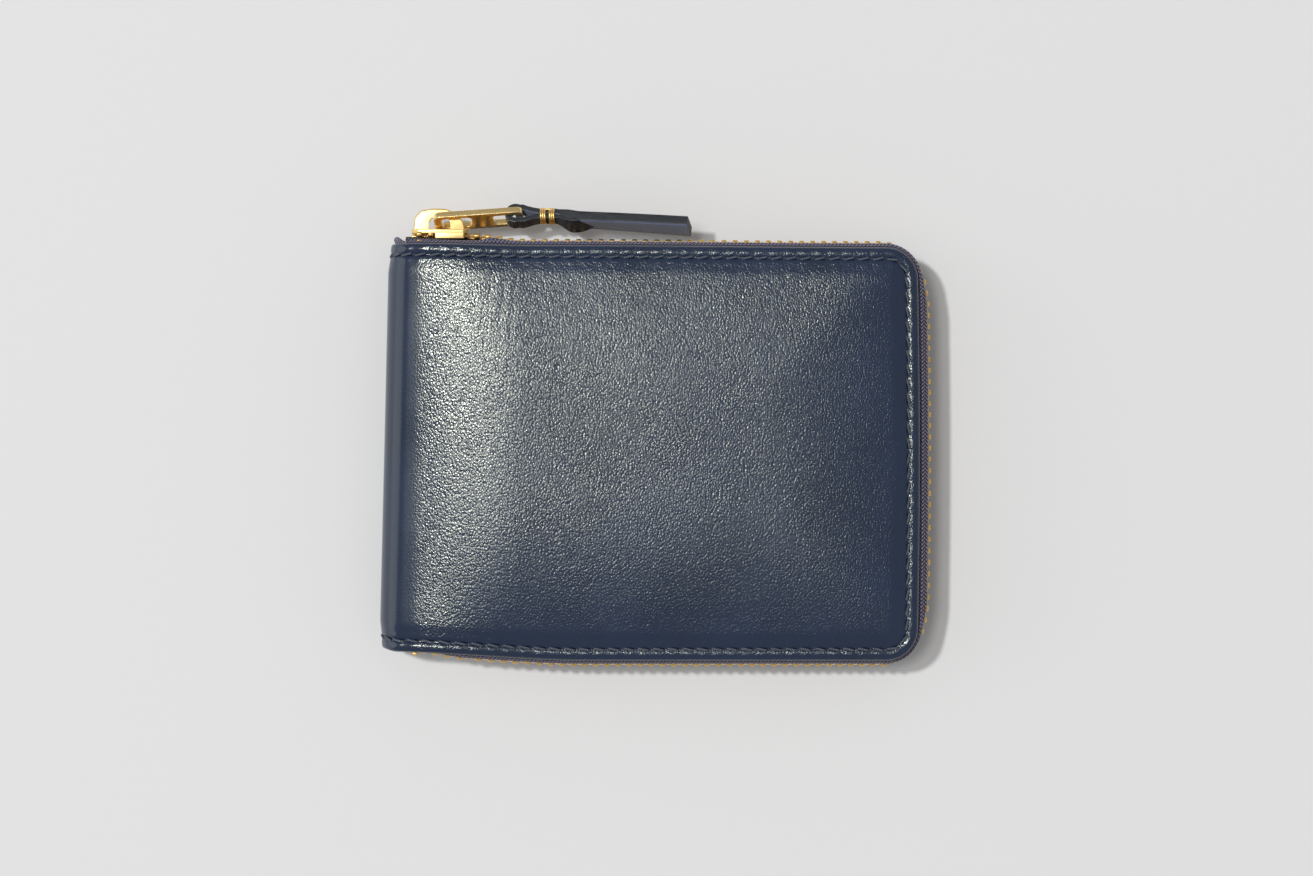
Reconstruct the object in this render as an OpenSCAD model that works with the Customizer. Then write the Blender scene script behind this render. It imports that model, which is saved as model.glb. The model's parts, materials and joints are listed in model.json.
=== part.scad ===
// Zip around wallet: a soft leather cover folded round a spine, closed on three sides by a
// metal zip, with card pockets in the back half and a zipped coin pocket in the front half.
// The wallet lies on its back. +X runs from the spine to the fore edge, +Y along the spine,
// +Z up through the thickness. The origin is the middle of the back cover's flat outer face.

/* [Cover] */
// Width of the leather cover, from the spine to the fore edge
cover_w = 112; // [108:1:120]
// Height of the leather cover, along the spine
cover_h = 86.5; // [84:0.5:95]
// Thickness of the closed wallet
thick = 20; // [20:0.5:24]
// Corner radius at the fore edge
corner_r = 6.8; // [5:0.2:9]
// How far the cover's edge lies below its middle
edge_drop = 2.8; // [2:0.1:3.2]

/* [Layers] */
// Outer leather
leather_t = 1.4; // [1:0.1:1.5]
// Foam sheet between the leather and the lining
padding_t = 0.8; // [0.5:0.1:1]
// Lining
lining_t = 0.5; // [0.4:0.1:0.6]

/* [Zip] */
// Distance between two teeth of one row
tooth_pitch = 2.38; // [2.2:0.02:2.6]
// How far the middle of the chain stands out from the leather's edge
chain_off = 1.3; // [1.1:0.1:1.6]

/* [Puller] */
// Length of the metal puller
puller_l = 19; // [18:0.5:20]
// Width of the puller and of the leather strap
puller_w = 6; // [5.6:0.1:6.2]
// Length of the strap's long free end, from the rings to the tip
strap_tail = 28; // [22:1:30]

/* [Pockets] */
// How far each card pocket's mouth is set below the next
card_step = 9; // [7:0.5:10]
// Height of the coin pocket
coin_h = 58; // [50:1:60]

/* [Hidden] */
$fn = 32;

// Colours
navy = "#2c3a52";
navy_inside = "#27334a";
thread = "#1d2638";
tape_colour = "#3a3650";
brass = "#d9b45c";
foam = "#8a8a86";

// Frame of the cover
mid = thick / 2;
spine_r = thick / 2;
spine_x = -cover_w / 2 + spine_r;   // axis of the round spine
fore_x = cover_w / 2;               // fore edge of the leather
half_h = cover_h / 2;
dome_w = 12;                        // width of the band where the cover curves down
spine_fade = 24;                    // the drop at the top and bottom fades out towards the spine
stitch_in = 2.3;                    // stitch line inside the leather's edge
stitch_pitch = 3.1;
stitch_z = 0.35;                    // height of a stitch's middle above the leather
edge_press = 0.5;                   // the sewn edge is pressed thinner, so stitches lie in it
press_w = 3.6;                      // width of the pressed edge
slip = 0.05;                        // gap between layers that touch

// Zip chain
zip_start = -38;                    // where both rows leave the tails that the spine carries
chain_y = half_h + chain_off;
chain_r = corner_r + chain_off;
run_top = fore_x - corner_r - zip_start;
run_corner = 90 * chain_r * PI / 180;
run_fore = cover_h - 2 * corner_r;
run_all = 2 * run_top + 2 * run_corner + run_fore;
teeth_n = round(run_all / tooth_pitch);
pitch = run_all / teeth_n;
tooth_t = 1.05;                     // along the chain
notch = 0.44;                       // half the width of the notch that grips the tape
tape_t = 0.6;
sewn_w = 3.4;                       // width of tape sewn under the leather's edge
tape_edge = 1.7;                    // corded edge of each tape, from the middle of the chain

// Slider, measured from its left end
slider_x = -51.5;
slider_l = 12;
slider_half = 4.5;
wing_in = 1.45;                     // inner face of each wing, from the chain's middle
wing_t = 1;
crown_t = 2;

// Puller and strap
pull_x = -46.1;                     // pivot, in the crown's window
pull_y = chain_y + wing_in + wing_t + 1.8;
puller_t = 1.3;
puller_lean = -25;                  // about X: its upper edge leans outward
puller_turn = 4;                    // about Z
strap_turn = -5;
strap_t = 1.7;                      // long end
short_end = 8;                      // the strap's other end stops just past the rings
short_end_t = 1.2;
neck_w = 3;

// Pockets
card_x0 = spine_x + 2.5;
card_x1 = fore_x - 9.5;
card_y0 = -half_h + 7.25;
card_t = 0.5;
seam_w = 1.6;
coin_x0 = spine_x + 5;
coin_x1 = fore_x - 13;
coin_y0 = -coin_h / 2;
coin_zip_y = coin_h / 2 - 13;
coin_slot = 4.2;                    // half the height of the slot that shows the coin zip
coin_zip_z = mid + 4.55;
coin_panel_z = mid + 3.6;
coin_pitch = 2;
coin_rest_x = coin_x0 + 7.6;

// ---------- Shape of the cover ----------

function clamp01(v) = min(1, max(0, v));
function ease(v) = v * v * (3 - 2 * v);

// Distance inside the leather's rounded outline
function inside(x, y) =
    let (dx = x - (fore_x - corner_r), dy = abs(y) - (half_h - corner_r))
    dx > 0 && dy > 0 ? corner_r - norm([dx, dy]) : corner_r - max(dx, dy);

// How far the sewn edge is pressed down at a distance inside the outline
function press(d) = edge_press * ease(clamp01(press_w + 1 - d));

// Height of the front cover's outer face
function cover_z(x, y) =
    let (d = inside(x, y), fade = ease(clamp01((x - spine_x) / spine_fade)))
    let (near_fore = fore_x - x < half_h - abs(y))
    thick - edge_drop * (near_fore ? 1 : fade) * pow(1 - clamp01(d / dome_w), 2) - press(d);

// Columns of a sheet: the roll round the spine, the flat of the panel, then the corner arc
roll_angles = [45, 60, 75];
panel_x = [0, 6, 12, 20, 32, 46, 60, 72, 82, 89, 94];
corner_angles = [for (a = [0 : 15 : 90]) a];
rows = [-1, -0.95, -0.88, -0.8, -0.7, -0.4, 0, 0.4, 0.7, 0.8, 0.88, 0.95, 1];

// One column as [x, half height, roll angle], for a sheet set in from the outline
function columns(set_in, rolled) =
    let (r = max(corner_r - set_in, 1))
    let (x1 = fore_x - set_in - r, y1 = half_h - set_in)
    concat(
        rolled ? [for (a = roll_angles) [0, y1, a]] : [],
        [for (x = panel_x) if (spine_x + x < x1 - 0.5) [spine_x + x, y1, 90]],
        [for (a = corner_angles) [x1 + r * sin(a), y1 - r * (1 - cos(a)), 90]]
    );

function sheet_point(column, row, depth) =
    let (y = row * column[1], r = spine_r - depth - press(half_h - abs(y)))
    column[2] < 90
        ? [spine_x - r * cos(column[2]), y, mid + r * sin(column[2])]
        : [column[0], y, cover_z(column[0], y) - depth];

// A closed sheet between two depths under the front cover's outer face
module sheet(depth, t, set_in = 0, rolled = false) {
    cols = columns(set_in, rolled);
    nc = len(cols);
    nr = len(rows);
    layer = nc * nr;
    points = [for (d = [depth, depth + t]) for (c = cols) for (r = rows) sheet_point(c, r, d)];
    function at(side, c, r) = side * layer + c * nr + r;
    faces = concat(
        [for (c = [0 : nc - 2]) for (r = [0 : nr - 2]) each [
            [at(0, c, r), at(0, c, r + 1), at(0, c + 1, r + 1)],
            [at(0, c, r), at(0, c + 1, r + 1), at(0, c + 1, r)],
            [at(1, c, r), at(1, c + 1, r + 1), at(1, c, r + 1)],
            [at(1, c, r), at(1, c + 1, r), at(1, c + 1, r + 1)]]],
        [for (c = [0 : nc - 2]) each [
            [at(0, c, 0), at(0, c + 1, 0), at(1, c + 1, 0), at(1, c, 0)],
            [at(0, c, nr - 1), at(1, c, nr - 1), at(1, c + 1, nr - 1), at(0, c + 1, nr - 1)]]],
        [for (r = [0 : nr - 2]) each [
            [at(0, 0, r), at(1, 0, r), at(1, 0, r + 1), at(0, 0, r + 1)],
            [at(0, nc - 1, r), at(0, nc - 1, r + 1), at(1, nc - 1, r + 1), at(1, nc - 1, r)]]]
    );
    polyhedron(points, faces, convexity = 6);
}

module front_pad() { sheet(leather_t + 4 * slip, padding_t - 4 * slip, 5.4); }

// Turns a front piece into the matching back piece
module to_back() {
    translate([0, 0, thick]) mirror([0, 0, 1]) children();
}

// Part of a tube round the spine's axis, from one y to another, half_angle each side of the
// outermost line
module spine_tube(r_out, r_in, y0, y1, half_angle = 45) {
    reach = 2 * spine_r;
    translate([spine_x, y1, mid]) rotate([90, 0, 0]) intersection() {
        difference() {
            cylinder(r = r_out, h = y1 - y0, $fn = 96);
            translate([0, 0, -1]) cylinder(r = r_in, h = y1 - y0 + 2, $fn = 96);
        }
        translate([0, 0, -1]) linear_extrude(y1 - y0 + 2) polygon([[-0.15, 0],
            [-reach, reach * tan(half_angle) - 0.15], [-reach, -reach * tan(half_angle) + 0.15]]);
    }
}

// ---------- Zip chain ----------

// Middle of the chain at a distance along it: [x, y, heading]
function chain_at(s) =
    s < run_top ? [zip_start + s, chain_y, 0]
    : s < run_top + run_corner
        ? let (a = (s - run_top) / chain_r * 180 / PI)
          [fore_x - corner_r + chain_r * sin(a), half_h - corner_r + chain_r * cos(a), -a]
    : s < run_top + run_corner + run_fore
        ? [fore_x + chain_off, half_h - corner_r - (s - run_top - run_corner), -90]
    : let (p = chain_at(run_all - s)) [p[0], -p[1], -180 - p[2]];

// One tooth of the front row, at the origin, with the chain along X and the row above it
module tooth(half_y = 1.2, reach = 3, t = tooth_t) {
    rotate([90, 0, 90]) translate([0, 0, -t / 2]) linear_extrude(t) polygon([
        [-0.65 * half_y, -0.5], [-0.9 * half_y, 0.6], [-half_y, reach], [-notch, reach],
        [-notch, tape_edge - 0.1], [notch, tape_edge - 0.1], [notch, reach], [half_y, reach],
        [0.9 * half_y, 0.6], [0.65 * half_y, -0.5]]);
}

// A stretch of one row; phase is 0.25 for the front row and 0.75 for the back row
module teeth(from, to, phase) {
    for (k = [0 : teeth_n - 1]) {
        s = (k + phase) * pitch;
        p = chain_at(s);
        if (s >= from && s < to) translate([p[0], p[1], mid]) rotate([0, 0, p[2]]) tooth();
    }
}

// Cross-section of the front tape as [outward from the leather's edge, height]
function tape_section(p) =
    let (out = [-sin(p[2]), cos(p[2])])
    let (edge = [p[0], p[1]] - chain_off * out, deep = edge - sewn_w * out)
    let (z0 = cover_z(edge[0], edge[1]) - leather_t - slip)
    let (z1 = cover_z(deep[0], deep[1]) - leather_t - slip)
    [[chain_off + tape_t / 2, mid + tape_edge], [chain_off + tape_t / 2, z0 - 0.3],
     [0.1, z0 - 0.1], [-sewn_w, z1 - 0.1], [-sewn_w, z1 - tape_t], [-0.2, z0 - tape_t],
     [chain_off - tape_t / 2, z0 - tape_t], [chain_off - tape_t / 2, mid + tape_edge]];

tape_stations = concat(
    [for (i = [0 : 8]) i * run_top / 8],
    [for (i = [1 : 5]) run_top + i * run_corner / 6],
    [for (i = [0 : 4]) run_top + run_corner + i * run_fore / 4],
    [for (i = [1 : 5]) run_top + run_corner + run_fore + i * run_corner / 6],
    [for (i = [0 : 8]) run_all - run_top + i * run_top / 8]
);

module front_tape_sweep() {
    n = len(tape_stations);
    points = [for (s = tape_stations)
        let (p = chain_at(s), out = [-sin(p[2]), cos(p[2])])
        let (edge = [p[0], p[1]] - chain_off * out)
        for (q = tape_section(p)) [edge[0] + q[0] * out[0], edge[1] + q[0] * out[1], q[1]]];
    faces = concat(
        [[for (i = [0 : 7]) i]],
        [for (k = [0 : n - 2]) for (i = [0 : 7]) let (j = (i + 1) % 8)
            each [[k * 8 + i, k * 8 + 8 + i, k * 8 + j], [k * 8 + j, k * 8 + 8 + i, k * 8 + 8 + j]]],
        [[for (i = [7 : -1 : 0]) (n - 1) * 8 + i]]
    );
    polyhedron(points, faces, convexity = 6);
}

// ---------- Stitches ----------

// Stitches on the front cover along its three open edges, standing on the leather
module cover_stitches() {
    r = corner_r - stitch_in;
    straight = fore_x - corner_r - spine_x;
    arc = 90 * r * PI / 180;
    all = 2 * straight + 2 * arc + run_fore;
    n = round(all / stitch_pitch);
    function at(s) =
        s < straight ? [spine_x + s, half_h - stitch_in, 0]
        : s < straight + arc
            ? let (a = (s - straight) / r * 180 / PI)
              [fore_x - corner_r + r * sin(a), half_h - corner_r + r * cos(a), -a]
        : s < straight + arc + run_fore
            ? [fore_x - stitch_in, half_h - corner_r - (s - straight - arc), -90]
        : let (p = at(all - s)) [p[0], -p[1], -180 - p[2]];
    for (k = [0 : n - 1]) {
        p = at((k + 0.5) * all / n);
        translate([p[0], p[1], cover_z(p[0], p[1]) + stitch_z]) rotate([0, 0, p[2]])
            cube([2.2, 0.4, 0.25], center = true);
    }
}

// Stitches round the spine, near its two ends
module roll_stitches() {
    for (side = [-1, 1]) for (a = [-36 : 18 : 36])
        translate([spine_x, side * (half_h - stitch_in), mid]) rotate([0, a, 0])
            translate([-spine_r + edge_press - stitch_z, 0, 0])
                cube([0.25, 0.4, 2.2], center = true);
}

// ---------- Zip tails carried by the spine ----------

// How far the two rows stand apart round the slider's post
function spread(x) = 1.8 * clamp01((-44.6 - x) / 3);

module tail_teeth(spread_rows) {
    for (k = [0 : 4]) {
        x = zip_start - (k + 0.75) * pitch;
        xb = zip_start - (k + 0.25) * pitch;
        translate([x, chain_y, mid + (spread_rows ? spread(x) : 0)]) tooth(reach = 2.7);
        translate([xb, chain_y, mid - (spread_rows ? spread(xb) : 0)]) mirror([0, 0, 1])
            tooth(reach = 2.7);
    }
}

// Both tapes' ends: two strips beside the teeth, joined and folded in at the spine
module zip_tail() {
    fold_r = spine_r - edge_press - leather_t - slip;
    wall = spine_x - fold_r;        // outermost line of the fold
    for (side = [0, 1]) translate([0, 0, side ? 2 * mid : 0]) mirror([0, 0, side])
        rotate([90, 0, 0]) translate([0, 0, -chain_y - tape_t / 2]) linear_extrude(tape_t)
            polygon([[zip_start - 0.3, mid + tape_edge], [zip_start - 0.3, mid + 5.1],
                     [-47, mid + 5.6], [wall + 1.6, mid + 4.9], [wall + 0.3, mid + 2],
                     [wall + 0.1, mid - 0.1], [-52, mid - 0.1], [-52, mid + 3.4],
                     [-46.6, mid + 3.6], [-44.6, mid + tape_edge]]);
    spine_tube(fold_r, fold_r - tape_t, half_h - 5, chain_y + tape_t / 2, 34);
}

// ---------- Slider ----------

module wing() {
    polygon([[0, -3.2], [1.4, -slider_half], [slider_l - 0.8, -slider_half], [slider_l, -3.6],
             [slider_l, 3.6], [slider_l - 0.8, slider_half], [1.4, slider_half], [0, 3.2]]);
}

module slider() {
    rotate([90, 0, 0]) for (side = [0, 1]) mirror([0, 0, side]) {
        translate([0, 0, wing_in]) linear_extrude(wing_t) wing();
        for (s = [-1, 1]) translate([5.2, s * (slider_half - 0.425) - 0.425, 0.45])
            cube([slider_l - 6, 0.85, wing_in - 0.45 + 0.3]);
        linear_extrude(wing_in + 0.3)
            polygon([[0.5, -0.7], [1.6, -1.15], [3.2, -0.9], [5, 0], [3.2, 0.9], [1.6, 1.15], [0.5, 0.7]]);
    }
}

// Arch over the outer wing that holds the puller
module crown() {
    translate([0, 0, -crown_t / 2]) linear_extrude(crown_t) difference() {
        polygon([[0.3, 0], [0.7, 2.6], [1.9, 4.1], [4.2, 4.6], [7.2, 4.55], [9.4, 3.5], [11, 1.6], [11.4, 0]]);
        polygon([[3, -0.1], [3.1, 1.9], [3.8, 3.1], [7.5, 3.15], [8.5, 1.9], [8.6, -0.1]]);
    }
}

// ---------- Puller ----------

module rounded_slot(x0, x1, half_w, r) {
    for (x = [x0 + r, x1 - r]) for (s = [-1, 1]) translate([x, s * (half_w - r)]) circle(r);
    translate([x0 + r, -half_w]) square([x1 - x0 - 2 * r, 2 * half_w]);
    translate([x0, -half_w + r]) square([x1 - x0, 2 * half_w - 2 * r]);
}

// Local frame of the puller: X along it, Z across its width, pivot at the origin
module at_puller() {
    translate([pull_x, pull_y, mid]) rotate([puller_lean, 0, puller_turn]) children();
}

module plate() {
    rotate([90, 0, 0]) translate([0, 0, -puller_t / 2]) linear_extrude(puller_t) difference() {
        rounded_slot(-0.75, puller_l - 0.75, puller_w / 2, 1.6);
        rounded_slot(0.75, 7.3, 1.9, 0.9);
        rounded_slot(puller_l - 7.2, puller_l - 2.3, 1.9, 0.7);
    }
}

// Local frame of the strap: origin in the puller's end bar
module at_strap() {
    at_puller() translate([puller_l - 1.5, 0, 0]) rotate([0, 0, strap_turn]) children();
}

// Middle line of the strap's tail, bowing towards the wallet
function strap_y(x) = 0.4 - 0.002 * x * x;

module strap() {
    loop_r = puller_t / 2 + 0.5;
    reach = 4.2;
    // neck through the puller's slot
    linear_extrude(neck_w, center = true) difference() {
        union() {
            translate([-1, 0]) circle(loop_r + 1);
            translate([-1, -loop_r - 1]) square([2.4, 2 * loop_r + 2]);
            polygon([[1.39, -loop_r - 1], [reach, -1.2], [reach, 1.2], [1.39, loop_r + 1]]);
        }
        translate([-1, 0]) circle(loop_r);
        translate([-1, -loop_r]) square([2.4, 2 * loop_r]);
        polygon([[1.39, -loop_r], [reach - 1.2, -0.02], [reach - 1.2, 0.02], [1.39, loop_r]]);
    }
    // bundle inside the rings
    rotate([0, 90, 0]) translate([0, 0, reach - 0.3]) cylinder(r = 1.45, h = 4.3);
    // long end
    steps = 6;
    x0 = reach + 3.9;
    for (i = [0 : steps - 1]) {
        xa = x0 + i * strap_tail / steps;
        xb = x0 + (i + 1) * strap_tail / steps;
        hull() {
            translate([xa, strap_y(xa - x0), 0])
                cube([0.01, strap_t, i == 0 ? neck_w : puller_w], center = true);
            translate([xb, strap_y(xb - x0), 0]) cube([0.01, strap_t, puller_w], center = true);
        }
    }
    // short end, under the long one
    translate([x0 - 0.1, strap_y(0) - strap_t / 2 - short_end_t + 0.1, -neck_w / 2])
        cube([short_end, short_end_t, neck_w]);
}

module rings() {
    for (x = [4.7, 6.7]) for (turn = [0, 1]) translate([x + 0.55 * turn, 0, 0])
        rotate([0, 90, 0]) rotate_extrude($fn = 48) translate([1.76, 0]) circle(r = 0.27, $fn = 16);
}

// ---------- Pockets ----------

module rounded_plate(x0, y0, x1, y1, r, z, t) {
    translate([0, 0, z]) linear_extrude(t) {
        for (x = [x0 + r, x1 - r]) for (y = [y0 + r, y1 - r]) translate([x, y]) circle(r);
        translate([x0 + r, y0]) square([x1 - x0 - 2 * r, y1 - y0]);
        translate([x0, y0 + r]) square([x1 - x0, y1 - y0 - 2 * r]);
    }
}

// A card pocket's face, sewn to the layer below it along its sides and its bottom
module card_pocket(k) {
    top = half_h - 13.25 - k * card_step;
    z = 4.2 + 0.7 * k;
    rounded_plate(card_x0, card_y0, card_x1, top, 3, z, card_t);
    difference() {
        rounded_plate(card_x0, card_y0, card_x1, top, 3, z - 0.15, 0.2);
        translate([card_x0 + seam_w, card_y0 + seam_w, z - 1])
            cube([card_x1 - card_x0 - 2 * seam_w, 100, 2]);
    }
}

// Upper or lower half of the coin pocket's face; the slot between them shows the coin zip
module coin_panel(upper) {
    z = coin_panel_z;
    if (upper)
        rounded_plate(coin_x0, coin_zip_y + coin_slot, coin_x1, coin_h / 2, 2, z, 0.7);
    else difference() {
        rounded_plate(coin_x0, coin_y0, coin_x1, coin_zip_y + coin_slot - 0.1, 2, z, 0.7);
        translate([coin_x0 + 3, coin_zip_y - coin_slot, z - 1])
            cube([coin_x1 - coin_x0 - 6, 2 * coin_slot + 1, 3]);
    }
}

module coin_frame() {
    depth = thick - leather_t - padding_t - lining_t - slip - coin_panel_z - 0.7 - slip;
    difference() {
        rounded_plate(coin_x0, coin_y0, coin_x1, coin_h / 2, 2, coin_panel_z + 0.7 + slip, depth);
        rounded_plate(coin_x0 + 1, coin_y0 + 1, coin_x1 - 1, coin_h / 2 - 1, 1.2,
                      coin_panel_z, depth + 3);
    }
}

module coin_tape(side) {
    y = side > 0 ? coin_zip_y + 1.2 : coin_zip_y - 5.7;
    translate([coin_x0 + 1.4, y, coin_panel_z + 0.75])
        cube([coin_x1 - coin_x0 - 2.8, 4.5, 0.4]);
}

module coin_row(side) {
    n = floor((coin_x1 - coin_x0 - 12) / coin_pitch);
    for (k = [0 : n - 1]) {
        x = coin_x0 + 6 + (k + (side > 0 ? 0.25 : 0.75)) * coin_pitch;
        translate([x, coin_zip_y, coin_zip_z]) mirror([0, side > 0 ? 0 : 1, 0])
            translate([-0.425, -0.35, -0.75]) difference() {
                cube([0.85, 2.6, 1.5]);
                translate([-0.1, 1.4, 0.5]) cube([1.1, 1.4, 0.5]);
            }
    }
}

module coin_slider() {
    for (side = [-1, 1]) translate([-4, -2.9, side > 0 ? 0.9 : -1.5]) cube([8, 5.8, 0.6]);
    translate([-3.4, -0.45, -1]) cube([1.8, 0.9, 2]);
}

module coin_crown() {
    rotate([90, 0, 0]) translate([0, 0, -0.6]) linear_extrude(1.2) difference() {
        polygon([[-3.2, -1.55], [-2.6, -2.9], [2.6, -2.9], [3.2, -1.55]]);
        polygon([[-2, -1.45], [-1.7, -2.4], [1.7, -2.4], [2, -1.45]]);
    }
}

module coin_pull() {
    translate([1.2, 0, -2.2]) linear_extrude(0.45) difference() {
        rounded_slot(-0.6, 11, 1.9, 1.2);
        rounded_slot(0.2, 4.4, 1.35, 0.6);
    }
}

module at_coin_slider() {
    translate([coin_rest_x, coin_zip_y, coin_zip_z]) children();
}

// ---------- Nodes ----------

module back_cover() { color(navy) to_back() sheet(0, leather_t, rolled = true); }
module back_padding() { color(foam) to_back() front_pad(); }
module back_lining() {
    color(navy_inside) to_back() sheet(leather_t + padding_t + slip, lining_t, 5.4);
}
module back_tape() { color(tape_colour) to_back() front_tape_sweep(); }
module back_teeth() { color(brass) to_back() teeth(run_top, run_all, 0.75); }
module back_teeth_top() { color(brass) to_back() teeth(0, run_top, 0.75); }
module back_stitching() { color(thread) to_back() cover_stitches(); }
module bill_panel() {
    color(navy_inside) rounded_plate(card_x0 - 0.5, -half_h + 6.75, card_x1 + 1, half_h - 6.75, 3, 3.4, 0.6);
}
module card_pocket_1() { color(navy) card_pocket(0); }
module card_pocket_2() { color(navy) card_pocket(1); }
module card_pocket_3() { color(navy) card_pocket(2); }

module spine_cover() {
    edge_y = half_h - press_w;
    color(navy) {
        spine_tube(spine_r, spine_r - leather_t, -edge_y, edge_y);
        for (side = [0, 1]) mirror([0, side, 0])
            spine_tube(spine_r - edge_press, spine_r - edge_press - leather_t, edge_y - 0.01, half_h);
    }
}
module spine_lining() {
    r = spine_r - leather_t - slip;
    color(navy_inside) spine_tube(r, r - lining_t, -half_h + 5.5, half_h - 5.5);
}
module spine_stitching() { color(thread) roll_stitches(); }
module zip_tail_top() { color(tape_colour) zip_tail(); }
module zip_tail_bottom() { color(tape_colour) mirror([0, 1, 0]) zip_tail(); }
module tail_teeth_top() { color(brass) tail_teeth(true); }
module tail_teeth_bottom() { color(brass) mirror([0, 1, 0]) tail_teeth(false); }
module top_stops() {
    color(brass) for (s = [-1, 1])
        translate([slider_x + 0.55, chain_y, mid + s * 2.5]) cube([1, 2.4, 1.7], center = true);
}
module bottom_stop() {
    color(brass) translate([slider_x + 0.4, -chain_y, mid]) cube([1.8, 2.4, 3.2], center = true);
}

module front_cover() { color(navy) sheet(0, leather_t, rolled = true); }
module front_padding() { color(foam) front_pad(); }
module front_lining() { color(navy_inside) sheet(leather_t + padding_t + slip, lining_t, 5.4); }
module front_tape() { color(tape_colour) front_tape_sweep(); }
module front_teeth() { color(brass) teeth(run_top, run_all, 0.25); }
module front_teeth_top() { color(brass) teeth(0, run_top, 0.25); }
module front_stitching() { color(thread) cover_stitches(); }
module coin_gusset() { color(navy_inside) coin_frame(); }
module coin_panel_upper() { color(navy) coin_panel(true); }
module coin_panel_lower() { color(navy) coin_panel(false); }
module coin_tape_upper() { color(tape_colour) coin_tape(1); }
module coin_tape_lower() { color(tape_colour) coin_tape(-1); }
module coin_teeth_upper() { color(brass) coin_row(1); }
module coin_teeth_lower() { color(brass) coin_row(-1); }
module coin_stops() {
    color(brass) for (x = [coin_x0 + 3.65, coin_x1 - 4])
        translate([x, coin_zip_y, coin_zip_z]) cube([1, 2.2, 1.5], center = true);
}

module slider_body() { color(brass) translate([slider_x, chain_y, mid]) slider(); }
module slider_crown() {
    color(brass) translate([slider_x, chain_y + wing_in + wing_t, mid]) crown();
}
module puller_plate() { color(brass) at_puller() plate(); }
module pull_strap() { color(navy) at_strap() strap(); }
module binding_rings() { color(brass) at_strap() rings(); }
module coin_slider_body() { color(brass) at_coin_slider() coin_slider(); }
module coin_slider_crown() { color(brass) at_coin_slider() coin_crown(); }
module coin_puller() { color(brass) at_coin_slider() coin_pull(); }

back_cover();
back_padding();
back_lining();
back_tape();
back_teeth();
back_teeth_top();
back_stitching();
bill_panel();
card_pocket_1();
card_pocket_2();
card_pocket_3();
spine_cover();
spine_lining();
spine_stitching();
zip_tail_top();
zip_tail_bottom();
tail_teeth_top();
tail_teeth_bottom();
top_stops();
bottom_stop();
front_cover();
front_padding();
front_lining();
front_tape();
front_teeth();
front_teeth_top();
front_stitching();
coin_gusset();
coin_panel_upper();
coin_panel_lower();
coin_tape_upper();
coin_tape_lower();
coin_teeth_upper();
coin_teeth_lower();
coin_stops();
slider_body();
slider_crown();
puller_plate();
pull_strap();
binding_rings();
coin_slider_body();
coin_slider_crown();
coin_puller();
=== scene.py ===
# Looks of the zip around wallet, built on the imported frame. Lengths here are millimetres, in the
# frame's own axes, and become metres when a mesh is made. The lamps and the camera are in metres.
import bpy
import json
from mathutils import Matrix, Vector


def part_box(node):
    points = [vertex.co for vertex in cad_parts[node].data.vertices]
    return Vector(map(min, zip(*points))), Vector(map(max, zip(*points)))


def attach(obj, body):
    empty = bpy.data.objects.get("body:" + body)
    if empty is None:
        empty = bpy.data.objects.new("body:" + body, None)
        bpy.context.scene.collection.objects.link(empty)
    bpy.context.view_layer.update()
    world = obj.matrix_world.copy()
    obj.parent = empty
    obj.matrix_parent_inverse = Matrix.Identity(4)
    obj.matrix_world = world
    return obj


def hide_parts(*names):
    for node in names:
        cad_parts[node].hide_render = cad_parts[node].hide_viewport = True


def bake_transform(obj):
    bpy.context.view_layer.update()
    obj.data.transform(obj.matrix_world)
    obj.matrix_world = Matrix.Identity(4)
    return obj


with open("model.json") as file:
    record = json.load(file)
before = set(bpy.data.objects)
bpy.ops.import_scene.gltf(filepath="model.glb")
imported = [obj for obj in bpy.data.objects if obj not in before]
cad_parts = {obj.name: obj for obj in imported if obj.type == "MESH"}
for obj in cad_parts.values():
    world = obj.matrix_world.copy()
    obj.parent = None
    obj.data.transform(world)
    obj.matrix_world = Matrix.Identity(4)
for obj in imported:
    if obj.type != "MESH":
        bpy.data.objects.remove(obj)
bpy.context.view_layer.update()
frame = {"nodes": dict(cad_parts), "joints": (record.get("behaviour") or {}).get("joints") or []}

import json
from math import ceil, cos, pi, radians, sin, sqrt, tan

import bmesh
import bpy
import numpy as np
from mathutils import Matrix, Vector

MM = 0.001


def box_mm(node):
    lo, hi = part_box(node)
    return np.array(lo) / MM, np.array(hi) / MM


def joint_mm(name):
    return next(np.array(j["pos_m"]) / MM for j in frame["joints"] if j["name"] == name)


# ---------- Measures taken from the frame ----------

SPINE_X = box_mm("spine_cover")[0][0]
FORE_X, HALF_H, THICK = box_mm("front_cover")[1]
MID = THICK / 2
TOOTH_REACH = 1.2        # a tooth's outer end, from the middle of the chain
CHAIN_OUT = box_mm("front_teeth")[1][0] - FORE_X - TOOTH_REACH     # the chain's middle, from the leather
CHAIN_Y = HALF_H + CHAIN_OUT
SLIDER_LO, SLIDER_HI = box_mm("slider_body")
PULL_AT = joint_mm("puller_swing")
STRAP_AT = joint_mm("strap_swing")

# ---------- Shape of the cover ----------

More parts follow.
